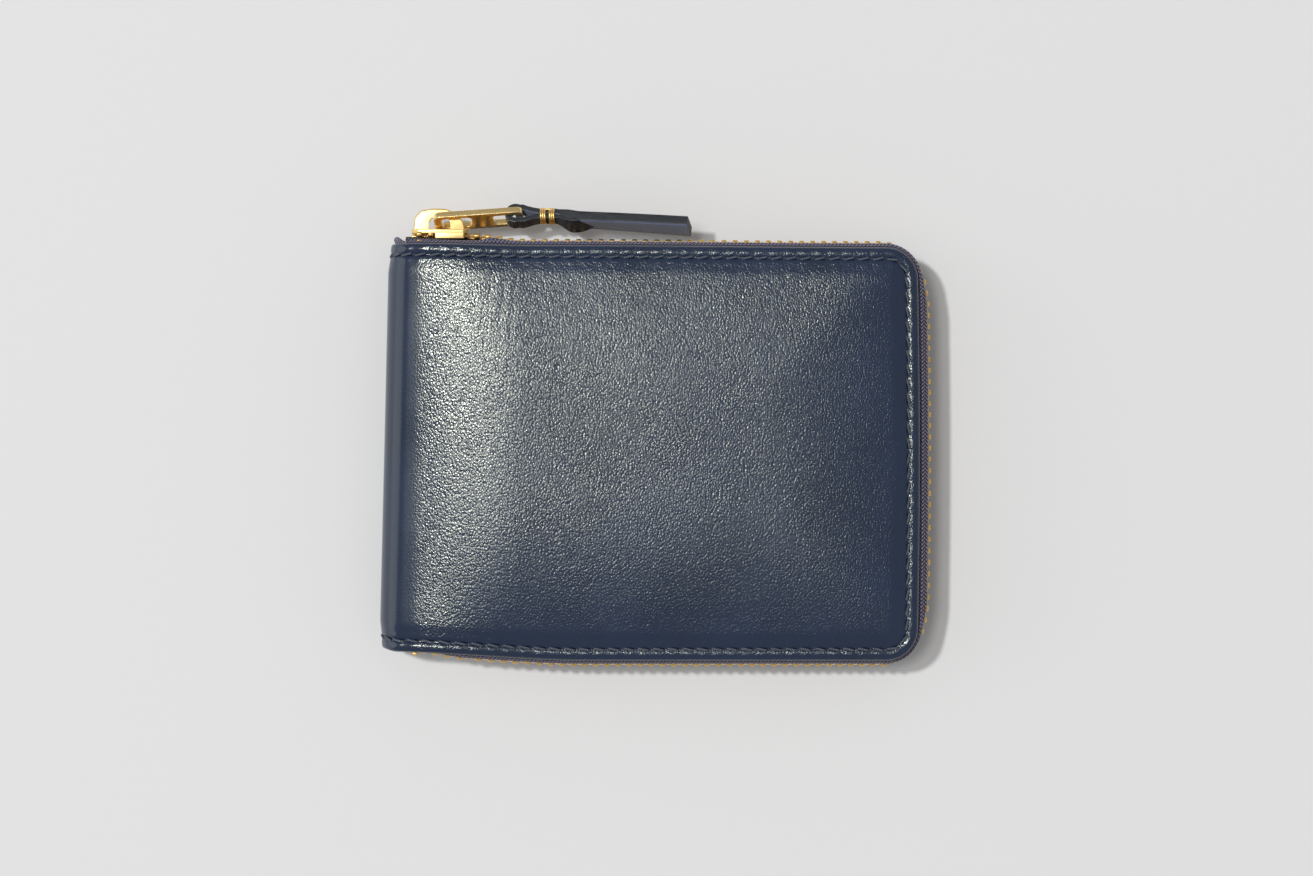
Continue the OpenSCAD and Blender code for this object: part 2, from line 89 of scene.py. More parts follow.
CORNER_R = 6.4
LEATHER_T = 1.35
EDGE_DROP = 2.8          # the cover curves down to its edge
DOME_W = 36.0            # over this width, ever more steeply
DOME_POWER = 2.6
TOP_DROP = 0.62          # share of the drop at the top edge
FADE_W = 24.0            # the curve at the top and bottom fades out towards the spine
PRESS = 0.5              # the sewn edge is pressed down
PRESS_END = 6.2          # from this far inside
PRESS_W = 4.6            # over this width
ROLL_END = radians(74.5)
RISE_W = 24.0            # the panel rises gently over this width after the roll
PANEL_RISE = RISE_W / 2 / tan(ROLL_END)
ROLL_R = (THICK - MID - PANEL_RISE) / sin(ROLL_END)      # roll round the spine
ROLL_X = SPINE_X + ROLL_R
PANEL_X = ROLL_X - ROLL_R * cos(ROLL_END)
ROLL_LEN = ROLL_R * ROLL_END
STITCH_IN = 2.3
GROOVE_DEPTH, GROOVE_W = 0.27, 0.36          # the groove that the thread lies in
ROUNDING, ROUNDING_W = 0.34, 0.6             # the rounded edge
SWELL, PUCKER, PUCKER_IN, PUCKER_W = 0.04, 0.15, 1.15, 0.52      # between the seam and the edge
INNER_PUCKER, INNER_PUCKER_IN, INNER_PUCKER_W = 0.1, 3.35, 0.6   # on the seam's inner side
CREASES = [(-31.5, 33, 0.10, 8, 0.07), (-29.6, 30, 0.06, 9, 0.05),      # x, y, lean, length, depth
           (-34.0, 36, 0.14, 6, 0.05), (-27.4, 35, 0.05, 6, 0.03)]
CREASE_W = 0.55

CORNER_X = FORE_X - CORNER_R
CORNER_Y = HALF_H - CORNER_R
SEAM_STRAIGHT = ROLL_LEN + CORNER_X - PANEL_X
SEAM_ARC = (CORNER_R - STITCH_IN) * pi / 2
SEAM_HALF = SEAM_STRAIGHT + SEAM_ARC + CORNER_Y
STITCHES = round(SEAM_HALF / 3.1)            # as near to this pitch as whole stitches allow
PITCH = SEAM_HALF / STITCHES


def unit(v):
    return np.clip(v, 0.0, 1.0)


def ease(v):
    v = unit(v)
    return v * v * (3 - 2 * v)


def bell(v, at, width):
    return np.exp(-(((v - at) / width) ** 2))


def inside(x, y):
    """Distance inside the rounded outline."""
    dx, dy = x - CORNER_X, np.abs(y) - CORNER_Y
    return np.where((dx > 0) & (dy > 0), CORNER_R - np.hypot(dx, dy), CORNER_R - np.maximum(dx, dy))


def along(x, y):
    """Distance along the seam, from the middle of the spine, of the seam's nearest point."""
    dx, dy = x - CORNER_X, np.abs(y) - CORNER_Y
    angle = np.arctan2(np.maximum(dx, 0), np.maximum(dy, 1e-9))
    return np.where((dx > 0) & (dy > 0), SEAM_STRAIGHT + angle * (CORNER_R - STITCH_IN),
                    np.where(dx > dy, SEAM_STRAIGHT + SEAM_ARC - dy, SEAM_STRAIGHT + dx))


def dome(x, y):
    """How far the cover has curved down at a point, towards its fore edge and its two ends."""
    fade = ease((x - ROLL_X) / FADE_W)
    ends = fade * (1 - unit((HALF_H - np.abs(y)) / DOME_W)) ** DOME_POWER * np.where(y > 0, TOP_DROP, 1.0)
    front = (1 - unit((FORE_X - x) / DOME_W)) ** DOME_POWER
    return EDGE_DROP * (ends ** 4 + front ** 4) ** 0.25


def pressed(d):
    return PRESS * ease((PRESS_END - d) / PRESS_W)


def relief(s, d):
    """Depth of the seam's groove and rounded edge, less the puckers beside the seam."""
    pucker = 0.5 - 0.5 * np.cos(2 * pi * s / PITCH)
    return (GROOVE_DEPTH * bell(d, STITCH_IN, GROOVE_W) + ROUNDING * unit(1 - d / ROUNDING_W) ** 2
            - (SWELL + PUCKER * pucker) * bell(d, PUCKER_IN, PUCKER_W)
            - INNER_PUCKER * pucker * bell(d, INNER_PUCKER_IN, INNER_PUCKER_W))


def waves(x, y):
    """Soft unevenness of hand-cut leather, with a few creases near the spine."""
    soft = (0.055 * np.sin(x / 8.5 + 0.8 * np.sin(y / 13)) * np.sin(y / 15 + 1.0)
            + 0.05 * np.sin(x / 19 - y / 23 + 2.0) + 0.02 * np.sin(x / 4.1 + y / 9.7))
    creases = 0
    for cx, cy, lean, length, depth in CREASES:
        creases = creases + depth * bell(x - lean * (y - cy), cx, CREASE_W) * bell(y, cy, length)
    return soft * ease((x - SPINE_X - 6) / 10) - creases


def warp(p):
    """The real outline isn't quite square: the spine slants, the fore edge bows out."""
    x, y, z = p[:, 0], p[:, 1], p[:, 2]
    t = y / HALF_H
    left = ease((-20 - x) / 36)
    right = ease((x - 20) / 36)
    dx = (t - 1.56) * left + right * (0.55 * (1 - t * t) - 0.5)
    dy = (ease(y / HALF_H) * (0.55 * bell(x, -51, 14) - 0.45 * ease((x + 20) / 70))
          + ease(-y / HALF_H) * (1.85 * ease((-16 - x) / 36) - 1.0 + 0.7 * ease((-52 - x) / 4)))
    return np.stack([x + dx, y + dy, z], axis=1)


def base(c):
    """Section of the cover before its edges curve down, at distance c from the middle of the
    spine: x, z and the outward normal."""
    if c < ROLL_LEN:
        a = c / ROLL_R
        return ROLL_X - ROLL_R * cos(a), MID + ROLL_R * sin(a), -cos(a), sin(a)
    x = PANEL_X + c - ROLL_LEN
    t = 1 - min(1, (x - PANEL_X) / RISE_W)
    slope = 2 * PANEL_RISE / RISE_W * t
    n = sqrt(1 + slope * slope)
    return x, THICK - PANEL_RISE * t * t, -slope / n, 1 / n


# ---------- Making meshes ----------

UPRIGHT = Matrix.Rotation(pi / 2, 4, "X")
HOLE_STEPS = 8           # points in each rounded corner of the puller's loops


def add(name, data):
    obj = bpy.data.objects.new(name, data)
    bpy.context.scene.collection.objects.link(obj)
    return obj


def make(name, points, faces, materials, face_materials=None, uv=None):
    """A mesh object from points in mm and faces of point numbers."""
    mesh = bpy.data.meshes.new(name)
    mesh.from_pydata((np.asarray(points, float) * MM).tolist(), [], faces)
    for m in materials:
        mesh.materials.append(m)
    if face_materials is not None:
        mesh.polygons.foreach_set("material_index", face_materials)
    mesh.polygons.foreach_set("use_smooth", [True] * len(mesh.polygons))
    if uv is not None:
        layer = mesh.uv_layers.new(name="UVMap")
        corner = np.zeros(len(mesh.loops), int)
        mesh.loops.foreach_get("vertex_index", corner)
        layer.data.foreach_set("uv", np.asarray(uv, float)[corner].ravel())
    mesh.validate()
    return add(name, mesh)


def grid_faces(nc, nr, start=0, flip=False):
    """Quads of a grid of nc columns of nr points."""
    out = []
    for c in range(nc - 1):
        for r in range(nr - 1):
            a, b = start + c * nr + r, start + (c + 1) * nr + r
            out.append([a + 1, b + 1, b, a] if flip else [a, b, b + 1, a + 1])
    return out


def tube_faces(rings, sides, start=0):
    """Quads between one ring of points and the next."""
    out = []
    for a in range(start, start + (rings - 1) * sides, sides):
        for i in range(sides):
            j = (i + 1) % sides
            out.append([a + i, a + j, a + sides + j, a + sides + i])
    return out


def copies(faces, start):
    return [[start + i for i in f] for f in faces]


def on_half(points, faces, front):
    """Points brought to the real outline and, for the back half, mirrored from the front's."""
    points = warp(np.asarray(points))
    if front:
        return points, faces
    points[:, 2] = THICK - points[:, 2]
    return points, [f[::-1] for f in faces]


def move_mm(mesh, matrix):
    """Moves a mesh in metres by a matrix that is in mm."""
    mesh.transform(Matrix.Diagonal((MM, MM, MM, 1)) @ matrix @ Matrix.Diagonal((1 / MM, 1 / MM, 1 / MM, 1)))


def face_out(mesh, sharp_angle=None, weld=False):
    """Turns every face outward. Shading is sharp where two faces meet at more than the angle."""
    bm = bmesh.new()
    bm.from_mesh(mesh)
    if weld:
        bmesh.ops.remove_doubles(bm, verts=bm.verts, dist=1e-7)
    bmesh.ops.recalc_face_normals(bm, faces=bm.faces)
    if sharp_angle:
        for e in bm.edges:
            if len(e.link_faces) == 2 and e.calc_face_angle(0) > radians(sharp_angle):
                e.smooth = False
    bm.to_mesh(mesh)
    bm.free()


def fillet(corners, radius, steps=5):
    """A closed outline with its corners rounded."""
    out = []
    n = len(corners)
    radii = radius if isinstance(radius, (list, tuple)) else [radius] * n
    for i in range(n):
        p, a, b = (np.array(corners[j % n], float) for j in (i, i - 1, i + 1))
        u, v = (a - p) / np.linalg.norm(a - p), (b - p) / np.linalg.norm(b - p)
        half = np.arccos(np.clip(u @ v, -1, 1)) / 2
        reach = min(radii[i] / tan(half), 0.48 * np.linalg.norm(a - p), 0.48 * np.linalg.norm(b - p))
        start, end = p + reach * u, p + reach * v
        for k in range(steps + 1):
            t = k / steps
            out.append((1 - t) ** 2 * start + 2 * t * (1 - t) * p + t * t * end)
    return out


def slot_loop(x0, x1, half_w, r):
    return fillet([(x0, -half_w), (x1, -half_w), (x1, half_w), (x0, half_w)], r, HOLE_STEPS)


def plate(name, loops, t, bevel, material, matrix, steps=3):
    """A flat plate with rounded edges: its outline, then its holes, in the matrix's XY plane."""
    curve = bpy.data.curves.new(name + "_outline", "CURVE")
    curve.dimensions = "2D"
    curve.fill_mode = "BOTH"
    curve.extrude = (t / 2 - bevel) * MM
    curve.bevel_depth = bevel * MM
    curve.bevel_resolution = steps
    curve.offset = -bevel * MM
    for i, loop in enumerate(loops):
        area = sum(a[0] * b[1] - b[0] * a[1] for a, b in zip(loop, loop[1:] + loop[:1]))
        if (area > 0) == (i > 0):
            loop = loop[::-1]
        spline = curve.splines.new("POLY")
        spline.points.add(len(loop) - 1)
        for point, at in zip(spline.points, loop):
            point.co = (at[0] * MM, at[1] * MM, 0, 1)
        spline.use_cyclic_u = True
    holder = add(name + "_outline", curve)
    bpy.context.view_layer.update()
    mesh = bpy.data.meshes.new_from_object(holder.evaluated_get(bpy.context.evaluated_depsgraph_get()))
    bpy.data.objects.remove(holder)
    bpy.data.curves.remove(curve)
    mesh.polygons.foreach_set("use_smooth", [True] * len(mesh.polygons))
    face_out(mesh, 40, True)
    mesh.name = name
    mesh.materials.clear()
    mesh.materials.append(material)
    move_mm(mesh, matrix)
    return add(name, mesh)


def join(name, parts):
    """One object from several."""
    bpy.ops.object.select_all(action="DESELECT")
    for p in parts:
        p.select_set(True)
    bpy.context.view_layer.objects.active = parts[0]
    bpy.ops.object.join()
    parts[0].name = name
    parts[0].data.name = name
    return parts[0]


def sweep(path, sections):
    """Points and faces of a closed section carried along a path, its two ends closed. path is a
    list of (origin, across, up) and sections has a list of (across, up) for each of them."""
    sides = len(sections[0])
    points = [np.array(origin) + a * np.array(across) + b * np.array(up)
              for (origin, across, up), section in zip(path, sections) for a, b in section]
    ends = [list(range(sides))[::-1], list(range((len(path) - 1) * sides, len(path) * sides))]
    return points, tube_faces(len(path), sides) + ends


# ---------- Materials ----------

def material(name, color, roughness, **sockets):
    mat = bpy.data.materials.new(name)
    mat.use_nodes = True
    shader = mat.node_tree.nodes["Principled BSDF"]
    shader.inputs["Base Color"].default_value = (*color, 1)
    shader.inputs["Roughness"].default_value = roughness
    for key, value in sockets.items():
        shader.inputs[key.replace("_", " ")].default_value = value
    return mat


def node(mat, kind, inputs=None, **settings):
    """Adds a node; an input given as a socket is linked, anything else is a value."""
    made = mat.node_tree.nodes.new(kind)
    for key, value in settings.items():
        setattr(made, key, value)
    for key, value in (inputs or {}).items():
        if isinstance(value, bpy.types.NodeSocket):
            mat.node_tree.links.new(value, made.inputs[key])
        else:
            made.inputs[key].default_value = value
    return made


def to_shader(mat, **links):
    shader = mat.node_tree.nodes["Principled BSDF"]
    for key, socket in links.items():
        mat.node_tree.links.new(socket, shader.inputs[key.replace("_", " ")])


def math(mat, operation, *values):
    made = node(mat, "ShaderNodeMath", {i: v for i, v in enumerate(values)}, operation=operation)
    return made.outputs[0]


def coords(mat, scale, uv=False):
    """Coordinates in cells per mm along each axis."""
    source = node(mat, "ShaderNodeUVMap", uv_map="UVMap").outputs[0] if uv \
        else node(mat, "ShaderNodeTexCoord").outputs["Object"]
    unit_scale = 1 if uv else 1 / MM
    scaled = node(mat, "ShaderNodeVectorMath",
                  {0: source, 1: tuple(unit_scale * s for s in scale)}, operation="MULTIPLY")
    return scaled.outputs[0]


def noise(mat, cells, uv=False, detail=3.0, rough=0.5):
    inputs = {"Vector": coords(mat, cells, uv), "Scale": 1.0, "Detail": detail, "Roughness": rough}
    return node(mat, "ShaderNodeTexNoise", inputs).outputs[0]


def voronoi(mat, vector, **settings):
    made = node(mat, "ShaderNodeTexVoronoi", {"Vector": vector, "Scale": 1.0}, **settings)
    return made.outputs["Distance"]


def remap(mat, value, lo, hi, to_lo, to_hi):
    return node(mat, "ShaderNodeMapRange", {0: value, 1: lo, 2: hi, 3: to_lo, 4: to_hi}).outputs[0]


def mix_colors(mat, factor, a, b):
    made = node(mat, "ShaderNodeMix", data_type="RGBA")
    for socket, value in ((made.inputs[0], factor), (made.inputs[6], a), (made.inputs[7], b)):
        if isinstance(value, bpy.types.NodeSocket):
            mat.node_tree.links.new(value, socket)
        else:
            socket.default_value = (*value, 1) if isinstance(value, tuple) else value
    return made.outputs[2]


def tone_by(mat, value, lo, hi, a, b, at_lo=0.0, at_hi=1.0):
    """Color a with a share of color b: at_lo of it where the value is lo, at_hi where it is hi."""
    return mix_colors(mat, remap(mat, value, lo, hi, at_lo, at_hi), a, b)


def shade(color, k):
    return tuple(min(1, k * c) for c in color)


def finished(mat, tone, height, depth, **links):
    """The material with its color, and a bump whose full height is depth in mm."""
    bump = node(mat, "ShaderNodeBump", {"Height": height, "Distance": depth * MM}).outputs[0]
    to_shader(mat, Base_Color=tone, Normal=bump, **links)
    return mat


def along_and_across(mat, uv):
    return node(mat, "ShaderNodeSeparateXYZ", {0: coords(mat, (1.0, 1.0, 1.0), uv)}).outputs[:2]


def leather(name, color, roughness, grain=1.0, depth=0.045, uv=True, ior=1.5, stretched=0.0):
    """Pebbled calf leather: small rounded cells parted by fine creases, with finer pores. The
    grain is pulled smooth over the first stretched mm along the map."""
    mat = material(name, color, roughness, IOR=ior, Specular_Tint=(0.97, 1.0, 0.86, 1.0))
    at = coords(mat, (2.1 / grain, 1.6 / grain, 2.1 / grain), uv)
    drift = noise(mat, (0.5, 0.4, 0.5), uv, 2.0)
    bent = node(mat, "ShaderNodeVectorMath", {0: at, 1: drift}, operation="ADD").outputs[0]
    round_cells = voronoi(mat, bent)
    edges = voronoi(mat, bent, feature="DISTANCE_TO_EDGE")
    pebble = math(mat, "MULTIPLY", math(mat, "MULTIPLY", round_cells, round_cells), -0.9)
    crease = remap(mat, edges, 0.0, 0.1, -0.14, 0.0)
    fine = math(mat, "MULTIPLY", noise(mat, (2.7 / grain, 2.3 / grain, 2.7 / grain), uv, 1.5), 0.9)
    soft = math(mat, "MULTIPLY", noise(mat, (1.2, 0.8, 1.2), uv), 0.22)
    height = math(mat, "ADD", math(mat, "ADD", pebble, crease), math(mat, "ADD", fine, soft))
    if stretched:
        from_spine = along_and_across(mat, uv)[0]
        share = remap(mat, from_spine, stretched - 3.5, stretched, 0.12, 1.0)
        height = math(mat, "MULTIPLY", height, share)
    patches = noise(mat, (0.05, 0.04, 0.05), uv, 4.0)
    tone = tone_by(mat, patches, 0.35, 0.7, color, shade(color, 1.35))
    # painted shade: the creases between the cells are darkened in colour, as shade falls in them
    tone = tone_by(mat, edges, 0.0, 0.12, tone, shade(color, 0.7), 0.7, 0.0)
    rough = math(mat, "ADD", remap(mat, patches, 0.3, 0.7, roughness - 0.03, roughness + 0.05),
                 remap(mat, edges, 0.0, 0.1, 0.08, 0.0))
    return finished(mat, tone, height, depth, Roughness=rough)


def suede(name, color):
    mat = material(name, color, 0.85, Sheen_Weight=0.35, Sheen_Roughness=0.4)
    fibres = noise(mat, (2.2, 5.0, 5.0), True, 5.0, 0.65)
    blotch = noise(mat, (0.4, 0.5, 0.5), True)
    light = shade(color, 2.4)
    tone = tone_by(mat, fibres, 0.35, 0.72, color, light)
    tone = tone_by(mat, blotch, 0.3, 0.75, tone, light, 0.0, 0.4)
    return finished(mat, tone, fibres, 0.09)


def cut_edge(name, color, light):
    """Cut and burnished leather edge with fine layers along it."""
    mat = material(name, color, 0.55)
    layers = noise(mat, (0.25, 5.0, 5.0), True, 3.0, 0.6)
    tone = tone_by(mat, layers, 0.4, 0.65, color, light)
    return finished(mat, tone, layers, 0.06)


def weave(name, color, light, uv=True):
    """Herringbone tape: twill lines that turn over from one band to the next."""
    pitch, band_w = 0.8, 0.75
    mat = material(name, color, 0.72, Sheen_Weight=0.25, Sheen_Roughness=0.5)
    u, v = along_and_across(mat, uv)
    band = math(mat, "PINGPONG", v, band_w)
    twill = math(mat, "SINE", math(mat, "MULTIPLY", math(mat, "ADD", u, band), 2 * pi / pitch))
    yarn = math(mat, "SINE", math(mat, "MULTIPLY", v, 2 * pi / (0.8 * pitch)))
    fuzz = noise(mat, (2.6, 3.4, 3.4), uv, 4.0, 0.75)
    height = math(mat, "ADD", math(mat, "ADD", math(mat, "MULTIPLY", twill, 0.5),
                                   math(mat, "MULTIPLY", yarn, 0.22)), fuzz)
    # painted highlight and shade: the raised twill and yarns are coloured lighter, the hollows between them
    # darker
    tone = tone_by(mat, height, 0.5, 1.15, color, light)
    return finished(mat, tone, height, 0.16)


def thread_material(name, color, light):
    ply_pitch = 0.42
    mat = material(name, color, 0.32, Specular_IOR_Level=0.8)
    slanted = math(mat, "ADD", *along_and_across(mat, True))
    ply = math(mat, "SINE", math(mat, "MULTIPLY", slanted, 2 * pi / ply_pitch))
    fibre = noise(mat, (9.0, 5.0, 5.0), True, 3.0, 0.6)
    height = math(mat, "ADD", math(mat, "MULTIPLY", ply, 0.5), fibre)
    # painted highlight on the crowns of the ply, painted shade in the twists between them
    tone = tone_by(mat, height, 0.1, 1.1, color, light)
    return finished(mat, tone, height, 0.06)


def brushed(name, color, roughness, cells=(0.35, 9.0, 9.0), dark=0.7):
    """Brushed metal with fine lines, small scratches and a little tarnish."""
    mat = material(name, color, roughness, Metallic=1.0, Anisotropic=0.5)
    lines = noise(mat, cells, False, 4.0, 0.6)
    tarnish = noise(mat, (0.5, 0.5, 0.5), False, 4.0, 0.6)
    tone = tone_by(mat, tarnish, 0.45, 0.75, color, shade(color, dark), 0.0, 0.7)
    rough = math(mat, "ADD", remap(mat, lines, 0.3, 0.7, roughness - 0.06, roughness + 0.08),
                 remap(mat, tarnish, 0.45, 0.8, 0.0, 0.15))
    return finished(mat, tone, lines, 0.012, Roughness=rough)


def sponge(name, color):
    mat = material(name, color, 0.9)
    cells = voronoi(mat, coords(mat, (3.0, 3.0, 3.0)))
    return finished(mat, mix_colors(mat, cells, color, shade(color, 0.5)), cells, 0.1)


NAVY = (0.006, 0.017, 0.052)
LINING = (0.012, 0.018, 0.036)
TAPE_DARK = (0.010, 0.008, 0.022)
shell_leather = leather("shell_leather", NAVY, 0.18, 0.94, 0.046, ior=1.68, stretched=ROLL_LEN + 4.5)
shell_flesh = suede("shell_flesh", (0.030, 0.036, 0.050))
shell_edge = cut_edge("shell_edge", (0.10, 0.11, 0.13), (0.30, 0.32, 0.34))
pocket_leather = leather("pocket_leather", (0.014, 0.024, 0.052), 0.3, 0.7, 0.035, False)
lining_leather = leather("lining_leather", LINING, 0.38, 0.6, 0.03, False)
strap_grain = leather("strap_grain", (0.010, 0.016, 0.030), 0.26, 0.8, 0.03, ior=1.6)
strap_flesh = suede("strap_flesh", (0.07, 0.085, 0.14))
strap_edge = cut_edge("strap_edge", (0.004, 0.006, 0.010), (0.035, 0.042, 0.05))
# the second colour of the tapes and of the thread is painted highlight on their raised yarns
tape_weave = weave("tape_weave", TAPE_DARK, (0.34, 0.30, 0.46))
cad_tape = weave("cad_tape", TAPE_DARK, (0.13, 0.11, 0.20), False)
seam_thread = thread_material("seam_thread", (0.010, 0.014, 0.026), (0.10, 0.12, 0.16))
tooth_brass = brushed("tooth_brass", (0.95, 0.62, 0.20), 0.34, (3.0, 3.0, 3.0))
slider_brass = brushed("slider_brass", (0.96, 0.69, 0.29), 0.37)
plate_brass = brushed("plate_brass", (0.97, 0.73, 0.34), 0.27, (0.2, 7.0, 7.0), 0.75)
ring_brass = brushed("ring_brass", (0.96, 0.68, 0.26), 0.3, (5.0, 5.0, 5.0), 0.8)
foam_sheet = sponge("foam_sheet", (0.32, 0.32, 0.30))
lining_calf = leather("lining_calf", LINING, 0.38, 0.6, 0.022)
lining_edge = cut_edge("lining_edge", (0.012, 0.014, 0.02), (0.05, 0.055, 0.065))
pocket_edge = cut_edge("pocket_edge", (0.03, 0.04, 0.065), (0.10, 0.12, 0.16))

# ---------- Leather shells ----------

EDGE_D = [0, 0.07, 0.2, 0.4, 0.65, 0.9, 1.15, 1.4, 1.65, 1.85, 2.02, 2.16, 2.3, 2.44, 2.58, 2.75,
          2.95, 3.25, 3.6, 3.95, 4.3, 4.75, 5.3, 5.85]      # the grid's rows beside the edge
GRID = 0.62
EDGE_LOOPS = [(0.07, 0.12), (0.105, 0.31), (0.095, 0.52), (0.03, 0.67)]     # out and down, of the thickness
LINING_T = 0.6
FOAM_IN = 7.0            # the foam stops this far inside the edge
FOAM_FROM = ROLL_LEN + 4.0
FOAM_DEPTH = 1.4         # from the cover's outer face
FOAM_T = 0.8


def lining_depth(d):
    """From the cover's outer face to the lining, clear of the tape's flange near the edge."""
    return 2.02 + 0.25 * ease((d - 3) / 4)


def shell_columns():
    """Distances along the section for the grid's columns, the last at the fore edge."""
    roll = [radians(-2.5) * ROLL_R] + list(np.linspace(0, ROLL_LEN, 22))[:-1]
    flat_end = CORNER_X - PANEL_X
    flat = list(ROLL_LEN + np.linspace(0, flat_end, ceil(flat_end / GRID) + 1))
    corner = [ROLL_LEN + FORE_X - PANEL_X - d for d in EDGE_D if d < CORNER_R - 0.2][::-1]
    return roll + flat + corner


def shell_rows():
    """Distances inside the edge for the grid's rows, for half the height."""
    rest = HALF_H - EDGE_D[-1]
    return EDGE_D + list(EDGE_D[-1] + np.linspace(0, rest, ceil(rest / GRID) + 1))[1:]


def sheet(name, front, materials, margin=0.0, first=-1.0, below=None, t=LEATHER_T):
    """One half's cover leather, or a sheet that lies below it: cut smaller by margin all round,
    starting at the distance first along the section, sunk by below(d) and t thick."""
    edge_r = CORNER_R - margin
    end = ROLL_LEN + FORE_X - PANEL_X - margin
    cols = [c for c in shell_columns() if first < c < end - 0.05] + [end]
    half = np.array([margin] + [d for d in shell_rows() if d > margin + 0.05])
    share = np.concatenate([half - HALF_H, (HALF_H - half)[::-1][1:]]) / (HALF_H - margin)
    nc, nr = len(cols), len(share)
    section = np.array([base(c) for c in cols])
    x, z, nx, nz = (np.repeat(section[:, k:k + 1], nr, 1) for k in range(4))
    c_along = np.repeat(np.array(cols)[:, None], nr, 1)
    over = np.clip(x - CORNER_X, 0, edge_r)
    top = CORNER_Y + np.sqrt(np.maximum(edge_r ** 2 - over ** 2, 0))
    y = share[None, :] * top
    rolled = c_along < ROLL_LEN
    d = np.where(rolled, HALF_H - np.abs(y), inside(x, y))
    s = np.where(rolled, c_along, along(x, y))
    outer = pressed(d) + np.where(rolled, 0.0, dome(x, y)) + np.where(c_along < 0, 0.12, 0.0)
    inner = outer + t
    if below is None:
        seam_depth = np.where(rolled, 0.35 + 0.65 * ease(c_along / ROLL_LEN), 1.0)
        outer = outer + relief(s, d) * seam_depth - np.where(rolled, 0, waves(x, y)) * ease((d - 3) / 4)
    else:
        outer, inner = outer + below(d), inner + below(d)

    def lay(off):
        return np.stack([x - nx * off, y, z - nz * off], axis=-1).reshape(-1, 3)

    points = [lay(outer), lay(inner)]
    uv = [np.stack([c_along, y], axis=-1).reshape(-1, 2)] * 2
    one_face = nc * nr
    faces = grid_faces(nc, nr) + grid_faces(nc, nr, one_face, True)
    kinds = [0] * (nc - 1) * (nr - 1) + [1] * (nc - 1) * (nr - 1)
    # cut edge: loops between the two faces, round the three open sides
    rim = [(c, nr - 1) for c in range(nc)] + [(nc - 1, r) for r in range(nr - 2, -1, -1)] \
        + [(c, 0) for c in range(nc - 2, -1, -1)]
    at_c, at_r = np.array(rim).T
    rim_at = (at_c * nr + at_r).tolist()
    ox = over[at_c, at_r] / edge_r
    on_side = (at_r == 0) | (at_r == nr - 1)
    oy = np.where(on_side, np.sqrt(1 - ox ** 2) * np.where(share[at_r] > 0, 1, -1), 0.0)
    normal = np.stack([nx[at_c, at_r], 0 * ox, nz[at_c, at_r]], axis=1)
    out = np.stack([ox, oy, 0 * ox], axis=1)
    rim_s = s[at_c, at_r]
    loops = [rim_at]
    for push, down in EDGE_LOOPS:
        points.append(points[0][rim_at] + t * (push * out - down * normal))
        uv.append(np.stack([rim_s, np.full(len(rim), t * down)], axis=1))
        start = 2 * one_face + (len(loops) - 1) * len(rim)
        loops.append(list(range(start, start + len(rim))))
    loops.append([one_face + i for i in rim_at])
    for a, b in zip(loops, loops[1:]):
        faces += [[a[i], a[i + 1], b[i + 1], b[i]] for i in range(len(rim) - 1)]
        kinds += [2] * (len(rim) - 1)
    # the hidden edge at the spine, closed across the loops of the cut edge
    faces.append([loop[0] for loop in loops] + list(range(one_face + nr - 2, one_face, -1))
                 + [loop[-1] for loop in loops[::-1]] + list(range(1, nr - 1)))
    kinds.append(1)
    points, faces = on_half(np.concatenate(points), faces, front)
    return make(name, points, faces, materials, kinds, np.concatenate(uv))


# ---------- Seam ----------

def seam_frame(s, side):
    """Point in the seam's groove at distance s from the middle of the spine, with the seam's
    direction, the direction out of the cover's edge and the normal."""
    if s < SEAM_STRAIGHT:
        x, z, nx, nz = base(s)
        y = HALF_H - STITCH_IN
        direction, out = np.array([nz, 0, -nx]), np.array([0, 1.0, 0])
    else:
        r = CORNER_R - STITCH_IN
        a = min(1.0, (s - SEAM_STRAIGHT) / SEAM_ARC) * pi / 2
        x = CORNER_X + r * sin(a)
        y = CORNER_Y + r * cos(a) - max(0, s - SEAM_STRAIGHT - SEAM_ARC)
        _, z, nx, nz = base(ROLL_LEN + x - PANEL_X)
        direction, out = np.array([cos(a), -sin(a), 0]), np.array([sin(a), cos(a), 0])
    rolled = s < ROLL_LEN
    fore = (not rolled) and FORE_X - x < HALF_H - y
    sink = float(pressed(STITCH_IN) + (0.0 if rolled else dome(x, side * y)))
    normal = np.array([nx, 0, nz])
    # the cover slopes down towards its edge here
    fade = 1.0 if fore else float(ease((x - ROLL_X) / FADE_W)) * (not rolled)
    drop = EDGE_DROP * (TOP_DROP if side > 0 and not fore else 1.0)
    slope = DOME_POWER * drop * fade / DOME_W * (1 - STITCH_IN / DOME_W) ** (DOME_POWER - 1)
    normal = normal + slope * out
    normal /= np.linalg.norm(normal)
    at = np.array([x, y, z]) - np.array([nx, 0, nz]) * sink
    mirror = np.array([1, side, 1])
    return at * mirror, direction * mirror, out * mirror, normal * mirror


def stitch_shape():
    """One thread: a short arch of round section that dives into its holes."""
    reach, r_thread, rings, sides = 1.34, 0.25, 11, 10
    points, uv = [], []
    for i in range(rings):
        t = -1 + 2 * i / (rings - 1)
        height = 0.02 - 0.62 * max(0, abs(t) - 0.45) ** 1.6
        r = r_thread * sqrt(max(0.12, 1 - max(0, (abs(t) - 0.86) / 0.14) ** 2))
        for j in range(sides):
            a = 2 * pi * j / sides
            points.append((reach * t, 1.12 * r * cos(a), height + 0.9 * r * sin(a)))
            uv.append((reach * t, r_thread * a))
    faces = [f[:1] + f[:0:-1] for f in tube_faces(rings, sides)]
    faces += [list(range(sides)), list(range((rings - 1) * sides, rings * sides))[::-1]]
    return np.array(points), np.array(uv), faces


STITCH, STITCH_UV, STITCH_FACES = stitch_shape()
STITCH_SLANT = radians(13)


